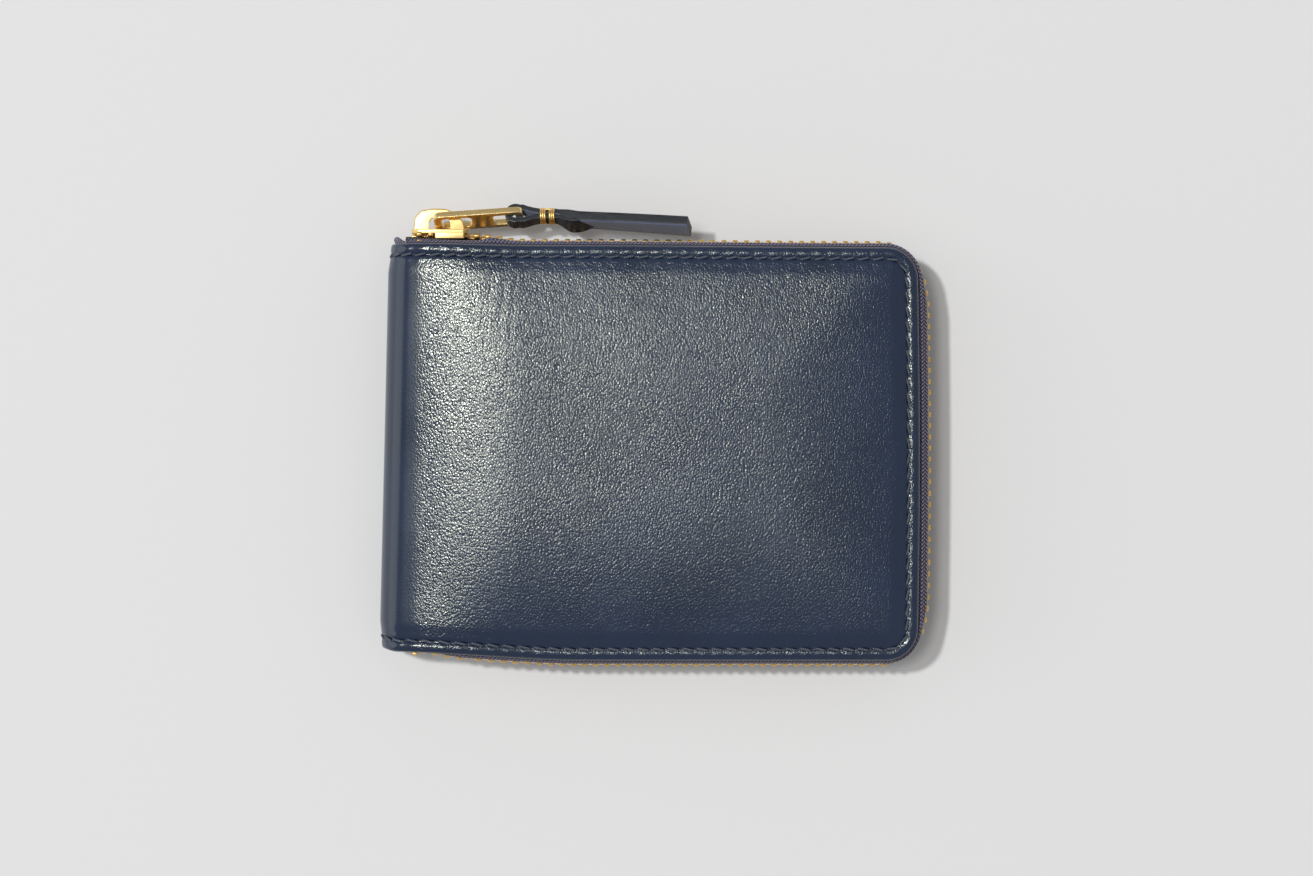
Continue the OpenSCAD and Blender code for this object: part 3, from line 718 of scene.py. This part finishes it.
def seam(name, front):
    """The stitches round one half, outside and on the lining."""
    points, uv, faces = [], [], []
    through = float(lining_depth(STITCH_IN)) + LINING_T + 0.04
    lean, rise = cos(STITCH_SLANT), sin(STITCH_SLANT)
    for side in (1, -1):
        shape_faces = [f[::-1] for f in STITCH_FACES] if side < 0 else STITCH_FACES
        for k in range(STITCHES):
            at, t, b, n = seam_frame((k + 0.5) * PITCH, side)
            for inner in (False, True):
                if inner:
                    at, n, b = at - through * n, -n, -b
                tt, bb = lean * t + rise * b, -rise * t + lean * b
                faces += copies(shape_faces, len(points) * len(STITCH))
                points.append(at + STITCH[:, 0:1] * tt + STITCH[:, 1:2] * bb + STITCH[:, 2:3] * n)
                uv.append(STITCH_UV + [k * 5, 0])
    points, faces = on_half(np.concatenate(points), faces, front)
    return make(name, points, faces, [seam_thread], None, np.concatenate(uv))


# ---------- Zip round the wallet ----------

TAIL_X = -52.2                       # where the tapes end at the spine
TAPE_STEP = 0.8                      # spacing of the tape's stations
ZIP_START = -38.0                    # where the frame's rows of teeth begin
TOOTH_PITCH = 2.38
TAIL_TEETH = 5
TOOTH_HALF = 0.52                    # half a tooth's thickness


def outline(s, start_x, grow=0.0):
    """Point at distance s along the upper half of the leather's outline, grown by grow and
    measured from start_x on its straight top: x, y and the direction outward."""
    top, r = CORNER_X - start_x, CORNER_R + grow
    arc = r * pi / 2
    if s < top:
        return start_x + s, HALF_H + grow, 0.0, 1.0
    if s < top + arc:
        a = (s - top) / r
        return CORNER_X + r * sin(a), CORNER_Y + r * cos(a), sin(a), cos(a)
    return FORE_X + grow, CORNER_Y - (s - top - arc), 1.0, 0.0


def outline_half(start_x, grow=0.0):
    """Length of that outline as far as the middle of the fore edge."""
    return CORNER_X - start_x + (CORNER_R + grow) * pi / 2 + CORNER_Y


def edge_stations():
    """Stations along the leather's outline from the top of the spine round to its bottom:
    distance, x, y, outward x, outward y."""
    half = outline_half(TAIL_X)
    out = [(s, *outline(s, TAIL_X)) for s in np.linspace(0, half, ceil(half / TAPE_STEP) + 1)]
    return out + [(2 * half - s, x, -y, ox, -oy) for s, x, y, ox, oy in out[::-1][1:]]


def edge_height(x, y):
    """Height of the leather's outer face at its edge."""
    if x < PANEL_X:
        a = np.arccos(np.clip((ROLL_X - x) / ROLL_R, -1, 1))
        return MID + (ROLL_R - PRESS) * sin(a)
    return base(ROLL_LEN + x - PANEL_X)[1] - float(dome(x, y) + pressed(0))


def chain_shift(x, y):
    """How far the chain stands out from its even line at a point of the leather's outline."""
    if y > 0:
        level = -0.95 * float(ease((x + 37) / 9))
    else:
        level = -1.15 - 1.25 * float(ease((-38 - x) / 12))
    fore = float(ease((x - CORNER_X - 1) / 4) * ease((CORNER_Y + 3 - abs(y)) / 9))
    return level * (1 - fore)


def spread(x, y):
    """How far the two rows part round the slider's post."""
    return 1.7 * float(unit((-44.6 - x) / 3)) if y > 0 else 0.0


def tape(name, front):
    """One half's tape: it leaves the leather's underside, swells into a ridge outside the edge
    and turns down to the teeth. Its section is (out from the leather's edge, height)."""
    path, sections, uv = [], [], []
    for s, x, y, ox, oy in edge_stations():
        z0 = edge_height(x, y) - LEATHER_T - 0.05
        low = MID + 1.7 + spread(x, y)
        wall = max(z0 - low, 1.2)
        chain = CHAIN_OUT + chain_shift(x, y)
        beside = float(ease((-33 - x) / 5)) if y > 0 else 0.0
        wide = (chain + 0.72) * (1 - beside) + 0.95 * beside
        k = max(wide, 0.2) / 2.1
        profile = [(-3.2, z0 - 0.03), (-0.6, z0 - 0.06), (0.1 * k, z0 - 0.3), (0.38 * k, z0 - 0.75),
                   (0.62 * k, z0 - 0.42), (0.95 * k, z0 - 0.14), (1.28 * k, z0 - 0.34),
                   (1.46 * k, z0 - 0.66), (1.62 * k, z0 - 0.62), (1.9 * k, z0 - 0.7), (wide, z0 - 1.1),
                   (wide + 0.1, z0 - 0.25 * wall - 0.75), (wide + 0.05, low + 0.45 * wall),
                   (wide - 0.2, low + 0.2 * wall), (chain + 0.3, low), (chain - 0.28, low),
                   (chain - 0.2, low + 0.2 * wall), (wide - 0.55, low + 0.45 * wall),
                   (wide - 0.55, z0 - 1.5), (0.8 * k, z0 - 1.05), (0.1 * k, z0 - 0.75),
                   (-0.8, z0 - 0.62), (-3.2, z0 - 0.58)]
        path.append(((x, y, 0), (ox, oy, 0), (0, 0, 1)))
        sections.append(profile)
        run = np.cumsum(np.linalg.norm(np.diff(np.array(profile), axis=0), axis=1))
        uv.append(np.stack([np.full(len(profile), s), np.concatenate([[0], run])], axis=1))
    points, faces = sweep(path, sections)
    points, faces = on_half(points, [f[::-1] for f in faces], front)
    return make(name, points, faces, [tape_weave], None, np.concatenate(uv))


def tooth_shape():
    """One tooth of the front row in (across, up, along), with rounded edges."""
    outline = [(-0.62, -0.55), (-0.95, 0.1), (-1.12, 0.9), (-1.25, 2.6), (-0.42, 3.0), (-0.36, 1.62),
               (0.36, 1.62), (0.42, 3.0), (0.95, 3.1), (1.4, 2.75), (1.32, 1.4), (0.98, 0.1), (0.62, -0.55)]
    bm = bmesh.new()
    face = bm.faces.new([bm.verts.new((a, u, -TOOTH_HALF)) for a, u in outline])
    extruded = bmesh.ops.extrude_face_region(bm, geom=[face])
    for v in extruded["geom"]:
        if isinstance(v, bmesh.types.BMVert):
            v.co.z = TOOTH_HALF
    bmesh.ops.recalc_face_normals(bm, faces=bm.faces)
    bmesh.ops.bevel(bm, geom=list(bm.edges), offset=0.13, segments=2, affect="EDGES", profile=0.6)
    bm.verts.index_update()
    points = np.array([v.co[:] for v in bm.verts])
    faces = [[v.index for v in f.verts] for f in bm.faces]
    bm.free()
    return points, faces


def row_of_teeth(name, front):
    """Teeth at the places that the frame's own teeth have."""
    shape, shape_faces = tooth_shape()
    points, faces = [], []
    for x, y, ox, oy in tooth_places(front):
        shift = chain_shift(x - CHAIN_OUT * ox, y - CHAIN_OUT * oy) - 1.7 * abs(ox * oy)
        out = shape[:, 0] + shift
        faces += copies(shape_faces, len(points) * len(shape))
        points.append(np.stack([x + out * ox + shape[:, 2] * oy, y + out * oy - shape[:, 2] * ox,
                                MID + shape[:, 1] + spread(x, y)], axis=1))
    points, faces = on_half(np.concatenate(points), faces, front)
    return make(name, points, faces, [tooth_brass])


def tooth_places(front):
    """Middle and outward direction of every tooth along the chain, as in the frame."""
    half = outline_half(ZIP_START, CHAIN_OUT)
    count = round(2 * half / TOOTH_PITCH)
    pitch = 2 * half / count
    phase, tail_phase = (0.25, 0.75) if front else (0.75, 0.25)
    tail = [ZIP_START - (k + tail_phase) * pitch for k in range(TAIL_TEETH)]
    places = [(x, CHAIN_Y, 0.0, 1.0) for x in tail[::-1]]
    for k in range(count):
        s = (k + phase) * pitch
        side = 1 if s <= half else -1
        x, y, ox, oy = outline(s if side > 0 else 2 * half - s, ZIP_START, CHAIN_OUT)
        places.append((x, side * y, ox, side * oy))
    return places + [(x, -CHAIN_Y, 0.0, -1.0) for x in tail]


for half_name, front in (("front", True), ("back", False)):
    shell = sheet(half_name + "_leather", front, [shell_leather, shell_flesh, shell_edge])
    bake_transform(shell)
    lining = sheet(half_name + "_lining_sheet", front, [shell_flesh, lining_calf, lining_edge], 1.9,
                   below=lining_depth, t=LINING_T)
    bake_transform(lining)
    foam = sheet(half_name + "_foam", front, [foam_sheet] * 3, FOAM_IN, FOAM_FROM,
                 lambda d: FOAM_DEPTH, FOAM_T)
    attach(foam, half_name)
    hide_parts(half_name + "_padding")
    stitches = seam(half_name + "_seam", front)
    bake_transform(stitches)
    band = tape(half_name + "_zip_tape", front)
    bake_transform(band)
    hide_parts(half_name + "_tape")
    row = row_of_teeth(half_name + "_zip_teeth", front)
    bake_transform(row)
    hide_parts(half_name + "_teeth", half_name + "_teeth_top")
    if front:
        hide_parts("front_cover", "spine_cover")
        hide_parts("front_lining", "spine_lining")
        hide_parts("front_stitching", "spine_stitching")
        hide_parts("tail_teeth_top", "tail_teeth_bottom")
    else:
        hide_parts("back_cover")
        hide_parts("back_lining")
        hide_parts("back_stitching")


def tail_fold(name, side):
    """The joined ends of both tapes, folded over inside the roll of the spine."""
    r = ROLL_R - LEATHER_T - 0.35
    half_angle, steps, t, foot = 64, 28, 0.34, HALF_H - 6
    path, sections, uv = [], [], []
    for k in range(steps + 1):
        a = radians(-half_angle + 2 * half_angle * k / steps)
        middle = cos(a * 90 / half_angle)
        end = HALF_H + (1.75 * middle + 0.1 if side > 0 else -0.9)
        bulk = 0.35 * middle if side > 0 else 0.0
        path.append(((ROLL_X, 0, MID), (-cos(a), 0, sin(a)), (0, side, 0)))
        sections.append([(r - t, foot), (r + t, foot), (r + t, end - 1.6), (r + t + bulk, end - 0.8),
                         (r + t + 0.4 * bulk, end - 0.2), (r, end), (r - t - 0.4 * bulk, end - 0.2),
                         (r - t - bulk, end - 0.8), (r - t, end - 1.6)])
        uv += [(r * a, v) for v in (0, 0.7, 5, 6, 6.7, 7, 7.3, 8, 9)]
    points, faces = sweep(path, sections)
    obj = make(name, warp(np.array(points)), faces, [tape_weave], None, uv)
    face_out(obj.data)
    return obj


for name, side, cad in (("tape_fold_top", 1, "zip_tail_top"),
                        ("tape_fold_bottom", -1, "zip_tail_bottom")):
    fold = tail_fold(name, side)
    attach(fold, "spine")
    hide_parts(cad)


def clamp(name, x, y, z, half_z):
    """A stop: a C of brass squeezed over the edge of the tape."""
    floor_z = -half_z + 0.75
    c_shape = fillet([(-1.15, -half_z), (1.15, -half_z), (1.15, half_z), (0.42, half_z), (0.42, floor_z),
                      (-0.42, floor_z), (-0.42, half_z), (-1.15, half_z)], 0.22, 4)
    turn = Matrix.Translation((x, y, z)) @ Matrix.Rotation(pi / 2, 4, "Z") @ UPRIGHT
    return plate(name, [c_shape], 1.1, 0.16, tooth_brass, turn)


stop_x = SLIDER_LO[0] + 0.55
top_pair = join("top_stop_pair", [clamp("stop", stop_x, CHAIN_Y, MID + up, 0.85) for up in (2.5, -2.5)])
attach(top_pair, "spine")
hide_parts("top_stops")
end_stop = clamp("bottom_end_stop", stop_x, -HALF_H + 0.9, MID, 1.6)
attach(end_stop, "spine")
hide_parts("bottom_stop")

# ---------- Slider ----------

WING_IN = 1.45           # the wings' inner faces, from the middle of the chain
WING_T = 1.0


def slider_at(y):
    return Matrix.Translation((SLIDER_LO[0], y, MID)) @ UPRIGHT


wing_outline = fillet([(0, -3.1), (1.4, -4.5), (11.2, -4.5), (12, -3.7), (12, 3.7), (11.2, 4.5),
                       (1.4, 4.5), (0, 3.1)], 0.7, 4)
slider_parts = [plate("wing", [wing_outline], WING_T, 0.22, slider_brass,
                      slider_at(CHAIN_Y + side * (WING_IN + WING_T / 2))) for side in (1, -1)]
for side in (1, -1):
    for edge in (1, -1):
        flange = fillet([(5.2, 3.62), (11.1, 3.62), (11.4, 4.1), (11.1, 4.5), (5.2, 4.5), (4.9, 4.1)],
                        0.15, 3)
        flange = [(x, edge * z) for x, z in flange]
        slider_parts.append(plate("flange", [flange], 1.35, 0.16, slider_brass,
                                  slider_at(CHAIN_Y + side * (WING_IN - 0.35))))
post = fillet([(0.5, -0.7), (1.6, -1.15), (3.2, -0.9), (5, 0), (3.2, 0.9), (1.6, 1.15), (0.5, 0.7)],
              0.3, 4)
slider_parts.append(plate("post", [post], 3.2, 0.1, slider_brass, slider_at(CHAIN_Y)))
slider = join("slider_housing", slider_parts)
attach(slider, "slider")
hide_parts("slider_body")

crown_outline = fillet([(0.2, -0.2), (0.5, 2.7), (1.8, 4.15), (4.2, 4.6), (7.2, 4.55), (9.4, 3.6),
                        (11, 1.7), (11.4, -0.2)], [0.2, 1.2, 1.4, 3, 3, 2.5, 1.5, 0.2], 6)
crown_window = fillet([(2.9, -0.3), (3.05, 1.9), (3.9, 3.1), (7.5, 3.15), (8.5, 1.9), (8.6, -0.3)],
                      [0.1, 0.8, 0.8, 0.8, 0.8, 0.1], 5)
crown = plate("slider_bridge", [crown_outline, crown_window], 2.0, 0.42, slider_brass,
              Matrix.Translation((SLIDER_LO[0], SLIDER_HI[1], MID)), 5)
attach(crown, "slider")
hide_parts("slider_crown")

# ---------- Puller ----------

LEAN = Matrix.Rotation(radians(4), 4, "Z") @ Matrix.Rotation(radians(-25), 4, "X")
AT_PULLER = Matrix.Translation(tuple(PULL_AT)) @ LEAN
PULLER_END = 0.75        # from the joint to the puller's rounded end
PULLER_L = float(np.linalg.norm(STRAP_AT - PULL_AT)) + 2 * PULLER_END
PULLER_W = 6.0
PULLER_T = 1.3
SLOT_HALF = 1.9
blade = plate("puller_blade", [slot_loop(-PULLER_END, PULLER_L - PULLER_END, PULLER_W / 2, 1.6),
                               slot_loop(PULLER_END, 7.3, SLOT_HALF, 1.2),
                               slot_loop(PULLER_L - 7.2, PULLER_L - 2.3, SLOT_HALF, 0.9)],
              PULLER_T + 0.1, 0.17, plate_brass, AT_PULLER @ UPRIGHT, 4)
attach(blade, "puller")
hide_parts("puller_plate")

# ---------- Strap ----------

AT_STRAP = Matrix.Translation(tuple(STRAP_AT)) @ LEAN @ Matrix.Rotation(radians(-5), 4, "Z")
LOOP_R = PULLER_T / 2 + 0.5
RING_X = 4.2
RIBBON_ACROSS = [-1, -0.985, -0.93, -0.8, -0.55, -0.25, 0, 0.25, 0.55, 0.8, 0.93, 0.985, 1]
RIBBON_FLAT = 0.93       # share of the ribbon's half width that is flat
RIBBON_ROUND = 0.07      # and rounded
OTHER_FACE = 20          # the second face's place on the map, across


def ribbon(name, path, half_widths, half_ts, materials, tip_slant=0.0, twist=0.0):
    """A strip of leather on edge: path is its middle line in the local XY plane and the
    width runs along Z, turned by twist near its start. materials are for the +normal face, the
    -normal face and the edges."""
    path = [np.array(p, float) for p in path]
    points, uv = [], []
    n = len(RIBBON_ACROSS)
    m = 2 * n
    run = 0.0
    for k, (p, w, t) in enumerate(zip(path, half_widths, half_ts)):
        a = path[max(k - 1, 0)]
        b = path[min(k + 1, len(path) - 1)]
        direction = (b - a) / np.linalg.norm(b - a)
        normal = np.array([-direction[1], direction[0]])
        run += np.linalg.norm(p - a)
        last = k / (len(path) - 1)
        slide = tip_slant * ease((last - 0.75) / 0.25)
        turn = twist * float(ease(last * 6)) * (1 - 0.65 * last)
        for sign, order in ((1, RIBBON_ACROSS), (-1, RIBBON_ACROSS[::-1])):
            for v in order:
                past = max(0, (abs(v) - RIBBON_FLAT) / RIBBON_ROUND)
                thick = sign * t * (0.55 + 0.45 * sqrt(max(0.0, 1 - past ** 2)))
                out, up = thick * cos(turn) - v * w * sin(turn), thick * sin(turn) + v * w * cos(turn)
                at = p + normal * out + direction * slide * v * w
                points.append((at[0], at[1], up))
                uv.append((run + slide * v * w, v * w + (0 if sign > 0 else OTHER_FACE)))
    edges = (0, n - 2, n - 1, n, m - 2, m - 1)
    faces = tube_faces(len(path), m)
    kinds = [2 if i in edges else (0 if i < n else 1) for i in range(m)] * (len(path) - 1)
    for row, order in ((0, 1), ((len(path) - 1) * m, -1)):
        faces += [[row + i, row + i + 1, row + m - 2 - i, row + m - 1 - i][::order] for i in range(n - 1)]
        kinds += [2] * (n - 1)
    obj = make(name, points, faces, materials, kinds, uv)
    move_mm(obj.data, AT_STRAP)
    face_out(obj.data, 50)
    return obj


def eased(x, start, width):
    return float(ease((x - start) / width))


# the strap's neck: a loop through the puller's slot, then both ends gathered in the rings
GATHERED_X = RING_X + 3.9
NECK_R = LOOP_R + 0.5
NECK_OPEN = 62           # half the angle that the loop leaves open
loop_path = []
for k in range(25):
    a = radians(NECK_OPEN + (360 - 2 * NECK_OPEN) * k / 24)
    loop_path.append((-0.85 + NECK_R * cos(a), NECK_R * sin(a)))
upper = [(GATHERED_X, 0.55), (RING_X + 1.5, 0.5), (RING_X, 0.58), (2.9, 0.78), (1.6, 1.12), (0.6, 1.5)]
lower = [(0.6, -1.6), (1.6, -1.35), (2.9, -0.85), (RING_X, -0.6), (RING_X + 1.5, -0.5), (GATHERED_X, -0.55)]
neck_path = upper + loop_path + lower
flesh_out = [strap_flesh, strap_grain, strap_edge]
strap_parts = [ribbon("neck", neck_path, [1.5 if x < 3 else 1.42 for x, _ in neck_path],
                      [0.58] * len(neck_path), flesh_out)]

TAIL_START = RING_X + 3.4
TAIL_LEN = 28.6
SHORT_LEN = 8.6
tail_xs = [TAIL_LEN * k / 40 for k in range(41)]
hanging = [(TAIL_START + x, 0.4 - 0.9 * eased(x, 0, 6) - 0.045 * x - 0.0005 * x * x) for x in tail_xs]
strap_parts.append(ribbon(
    "long_end", hanging, [1.5 + 1.5 * eased(x, 0, 6) for x in tail_xs],
    [0.6 + 0.5 * eased(x, 0, 4) for x in tail_xs],
    [strap_grain, strap_flesh, strap_edge], -0.12, radians(15)))
short, short_w, short_t = [], [], []
for k in range(25):
    t = k / 24
    x = SHORT_LEN * t
    tip = max(0.0, (t - 0.6) / 0.4)
    short.append((TAIL_START + x, -0.55 - 1.5 * eased(x, 0, 4) + 0.5 * eased(x, 4, 5)))
    short_w.append((1.4 + 1.3 * eased(x, 0, 4)) * sqrt(max(0.02, 1 - tip * tip)))
    short_t.append(0.52 - 0.3 * eased(t, 0.5, 0.5))
strap_parts.append(ribbon("short_end", short, short_w, short_t, flesh_out))
strap = join("strap_leather", strap_parts)
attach(strap, "strap")
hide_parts("pull_strap")

# rings: brass wire wound round the gathered strap, and the end of the wire tucked beside them
WIRE_SIDES = 10
WIRE_R = 0.21
WIRE_TURNS = 3
TURN_STEPS = 44
TURN_PITCH = 0.42
WOUND_R = 1.62
ring_points, ring_faces = [], []


def wire(r, steps, closed):
    """Adds a round wire; steps are its centres, each with two directions across it."""
    first = len(ring_points)
    for centre, u, v in steps:
        for j in range(WIRE_SIDES):
            b = 2 * pi * j / WIRE_SIDES
            ring_points.append(np.array(centre) + r * (cos(b) * np.array(u) + sin(b) * np.array(v)))
    ring_faces.extend(tube_faces(len(steps), WIRE_SIDES, first))
    if closed:
        ring_faces.append(list(range(first, first + WIRE_SIDES)))
        ring_faces.append(list(range(len(ring_points) - WIRE_SIDES, len(ring_points)))[::-1])


for x0 in (RING_X + 0.25, RING_X + 2.15):
    winding = []
    for i in range(WIRE_TURNS * TURN_STEPS + 1):
        a = 2 * pi * i / TURN_STEPS
        winding.append(((x0 + TURN_PITCH * i / TURN_STEPS, WOUND_R * cos(a), WOUND_R * sin(a)),
                        (0, cos(a), sin(a)), (1, 0, 0)))
    wire(WIRE_R, winding, True)
wire(0.2, [((RING_X + 1.3 + 1.1 * i / 8, 0.9, 1.45), (0, 1, 0), (0, 0, 1)) for i in range(9)], False)
rings = make("wound_rings", ring_points, ring_faces, [ring_brass])
move_mm(rings.data, AT_STRAP)
face_out(rings.data)
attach(rings, "strap")
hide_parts("binding_rings")

# ---------- Pockets' seams and edges ----------

SEAM_IN = 1.15
POCKET_PITCH = 2.9
POCKET_THREAD = 0.8      # size of a pocket's stitch beside the cover's


def flat_seam(name, corners, height, down):
    """Stitches along straight lines between corners, lying at height(y)."""
    points, uv, faces = [], [], []
    up = np.array([0, 0, -1.0 if down else 1.0])
    for a, b in zip(corners, corners[1:]):
        a, b = np.array([*a, 0.0]), np.array([*b, 0.0])
        length = np.linalg.norm(b - a)
        t = (b - a) / length
        count = max(1, round(length / POCKET_PITCH))
        across = np.cross(up, t)
        for k in range(count):
            at = a + t * length * (k + 0.5) / count
            at[2] = height(at[1])
            faces += copies(STITCH_FACES, len(points) * len(STITCH))
            points.append(at + POCKET_THREAD * (STITCH[:, 0:1] * t + STITCH[:, 1:2] * across
                                                + STITCH[:, 2:3] * up))
            uv.append(STITCH_UV + [k * 5, 0])
    return make(name, np.concatenate(points), faces, [seam_thread], None, np.concatenate(uv))


def rolled_edge(name, lines):
    """Painted edges: rounded beads along X, each (x0, x1, y, z)."""
    points, faces, uv = [], [], []
    sides, half_w, half_h = 12, 0.26, 0.36
    turns = [2 * pi * k / sides for k in range(sides)]
    section = [(half_w * cos(a), half_h * sin(a)) for a in turns]
    for x0, x1, y, z in lines:
        path = [((x, y, z), (0, 1, 0), (0, 0, 1)) for x in np.linspace(x0, x1, 31)]
        more, more_faces = sweep(path, [section] * len(path))
        faces += copies(more_faces, len(points))
        points += more
        uv += [(p[0], p[1] + p[2]) for p in more]
    obj = make(name, points, faces, [pocket_edge], None, uv)
    face_out(obj.data)
    return obj


pockets = [box_mm("card_pocket_" + str(k)) for k in (1, 2, 3)]
PANEL_LO, PANEL_HI = box_mm("coin_panel_lower")
UPPER_LO, UPPER_HI = box_mm("coin_panel_upper")


def pocket_height(y):
    return max(hi[2] for lo, hi in pockets if y < hi[1] - 0.6)


lo, hi = pockets[0]
left, right, bottom, top = lo[0] + SEAM_IN, hi[0] - SEAM_IN, lo[1] + SEAM_IN, hi[1] - SEAM_IN
card_seam = flat_seam("card_pocket_seam", [(left, top), (left, bottom), (right, bottom), (right, top)],
                      pocket_height, False)
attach(card_seam, "back")
card_edges = rolled_edge("card_pocket_edges", [(lo[0] + 0.1, hi[0] - 0.1, hi[1], (lo[2] + hi[2]) / 2)
                                               for lo, hi in pockets])
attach(card_edges, "back")
left, right = PANEL_LO[0] + SEAM_IN, PANEL_HI[0] - SEAM_IN
bottom, top = PANEL_LO[1] + SEAM_IN, UPPER_HI[1] - SEAM_IN
coin_seam = flat_seam("coin_panel_seam", [(left, UPPER_LO[1] + 0.6), (left, top), (right, top),
                                          (right, bottom), (left, bottom), (left, PANEL_HI[1] - 0.6)],
                      lambda y: PANEL_LO[2], True)
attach(coin_seam, "front")

# ---------- CAD nodes that stay ----------

kept = {                 # look and rounding of the edges in mm
    "bill_panel": (lining_leather, 0.2), "card_pocket_1": (pocket_leather, 0.2),
    "card_pocket_2": (pocket_leather, 0.2), "card_pocket_3": (pocket_leather, 0.2),
    "coin_gusset": (lining_leather, 0), "coin_panel_upper": (pocket_leather, 0.25),
    "coin_panel_lower": (pocket_leather, 0.25), "coin_tape_upper": (cad_tape, 0),
    "coin_tape_lower": (cad_tape, 0), "coin_teeth_upper": (tooth_brass, 0.1),
    "coin_teeth_lower": (tooth_brass, 0.1), "coin_stops": (tooth_brass, 0.15),
    "coin_slider_body": (slider_brass, 0.2), "coin_slider_crown": (slider_brass, 0.2),
    "coin_puller": (plate_brass, 0.12),
}
for name, (look, edge_r) in kept.items():
    obj = frame["nodes"][name]
    obj.data.materials.clear()
    obj.data.materials.append(look)
    obj.modifiers.new("weld", "WELD").merge_threshold = 1e-6
    if edge_r:
        rounding = obj.modifiers.new("rounding", "BEVEL")
        rounding.width = edge_r * MM
        rounding.segments = 2
        rounding.limit_method = "ANGLE"
        rounding.angle_limit = radians(40)

# ---------- Floor, light, camera ----------

FLOOR_HALF = 3000
FLOOR_Z = -0.02
floor_mat = material("pale_floor", (0.8, 0.8, 0.8), 0.9, Specular_IOR_Level=0.1)
speck = noise(floor_mat, (0.4, 0.4, 0.4), False, 4.0)
to_shader(floor_mat, Base_Color=mix_colors(floor_mat, speck, (0.795,) * 3, (0.805,) * 3))
floor_corners = [(x * FLOOR_HALF, y * FLOOR_HALF, FLOOR_Z) for x, y in ((-1, -1), (1, -1), (1, 1), (-1, 1))]
floor = make("floor", floor_corners, [[0, 1, 2, 3]], [floor_mat])


def lamp(name, direction, distance, size, power):
    """A round area lamp that looks at the middle of the frame; size and distance in metres."""
    data = bpy.data.lights.new(name, "AREA")
    data.shape = "DISK"
    data.size = size
    data.energy = power
    obj = add(name, data)
    way = Vector(direction).normalized()
    obj.location = way * distance
    obj.rotation_euler = (-way).to_track_quat("-Z", "Y").to_euler()


lamp("key", (-0.375, 0.18, 0.91), 6.0, 0.4, 166)
lamp("softbox", (-0.22, 0.08, 0.97), 4.0, 0.75, 28)
lamp("side_card", (-0.97, 0.1, 0.16), 4.0, 3.6, 30)
world = bpy.data.worlds.new("studio")
world.use_nodes = True
world.node_tree.nodes["Background"].inputs[0].default_value = (0.32, 0.32, 0.32, 1)
bpy.context.scene.world = world
bpy.context.scene.view_settings.view_transform = "Standard"

camera_data = bpy.data.cameras.new("camera")
camera_data.lens = 90
camera_data.sensor_width = 36
camera = add("camera", camera_data)
camera.location = (0.0005, 0.0027, 0.710)
bpy.context.scene.camera = camera
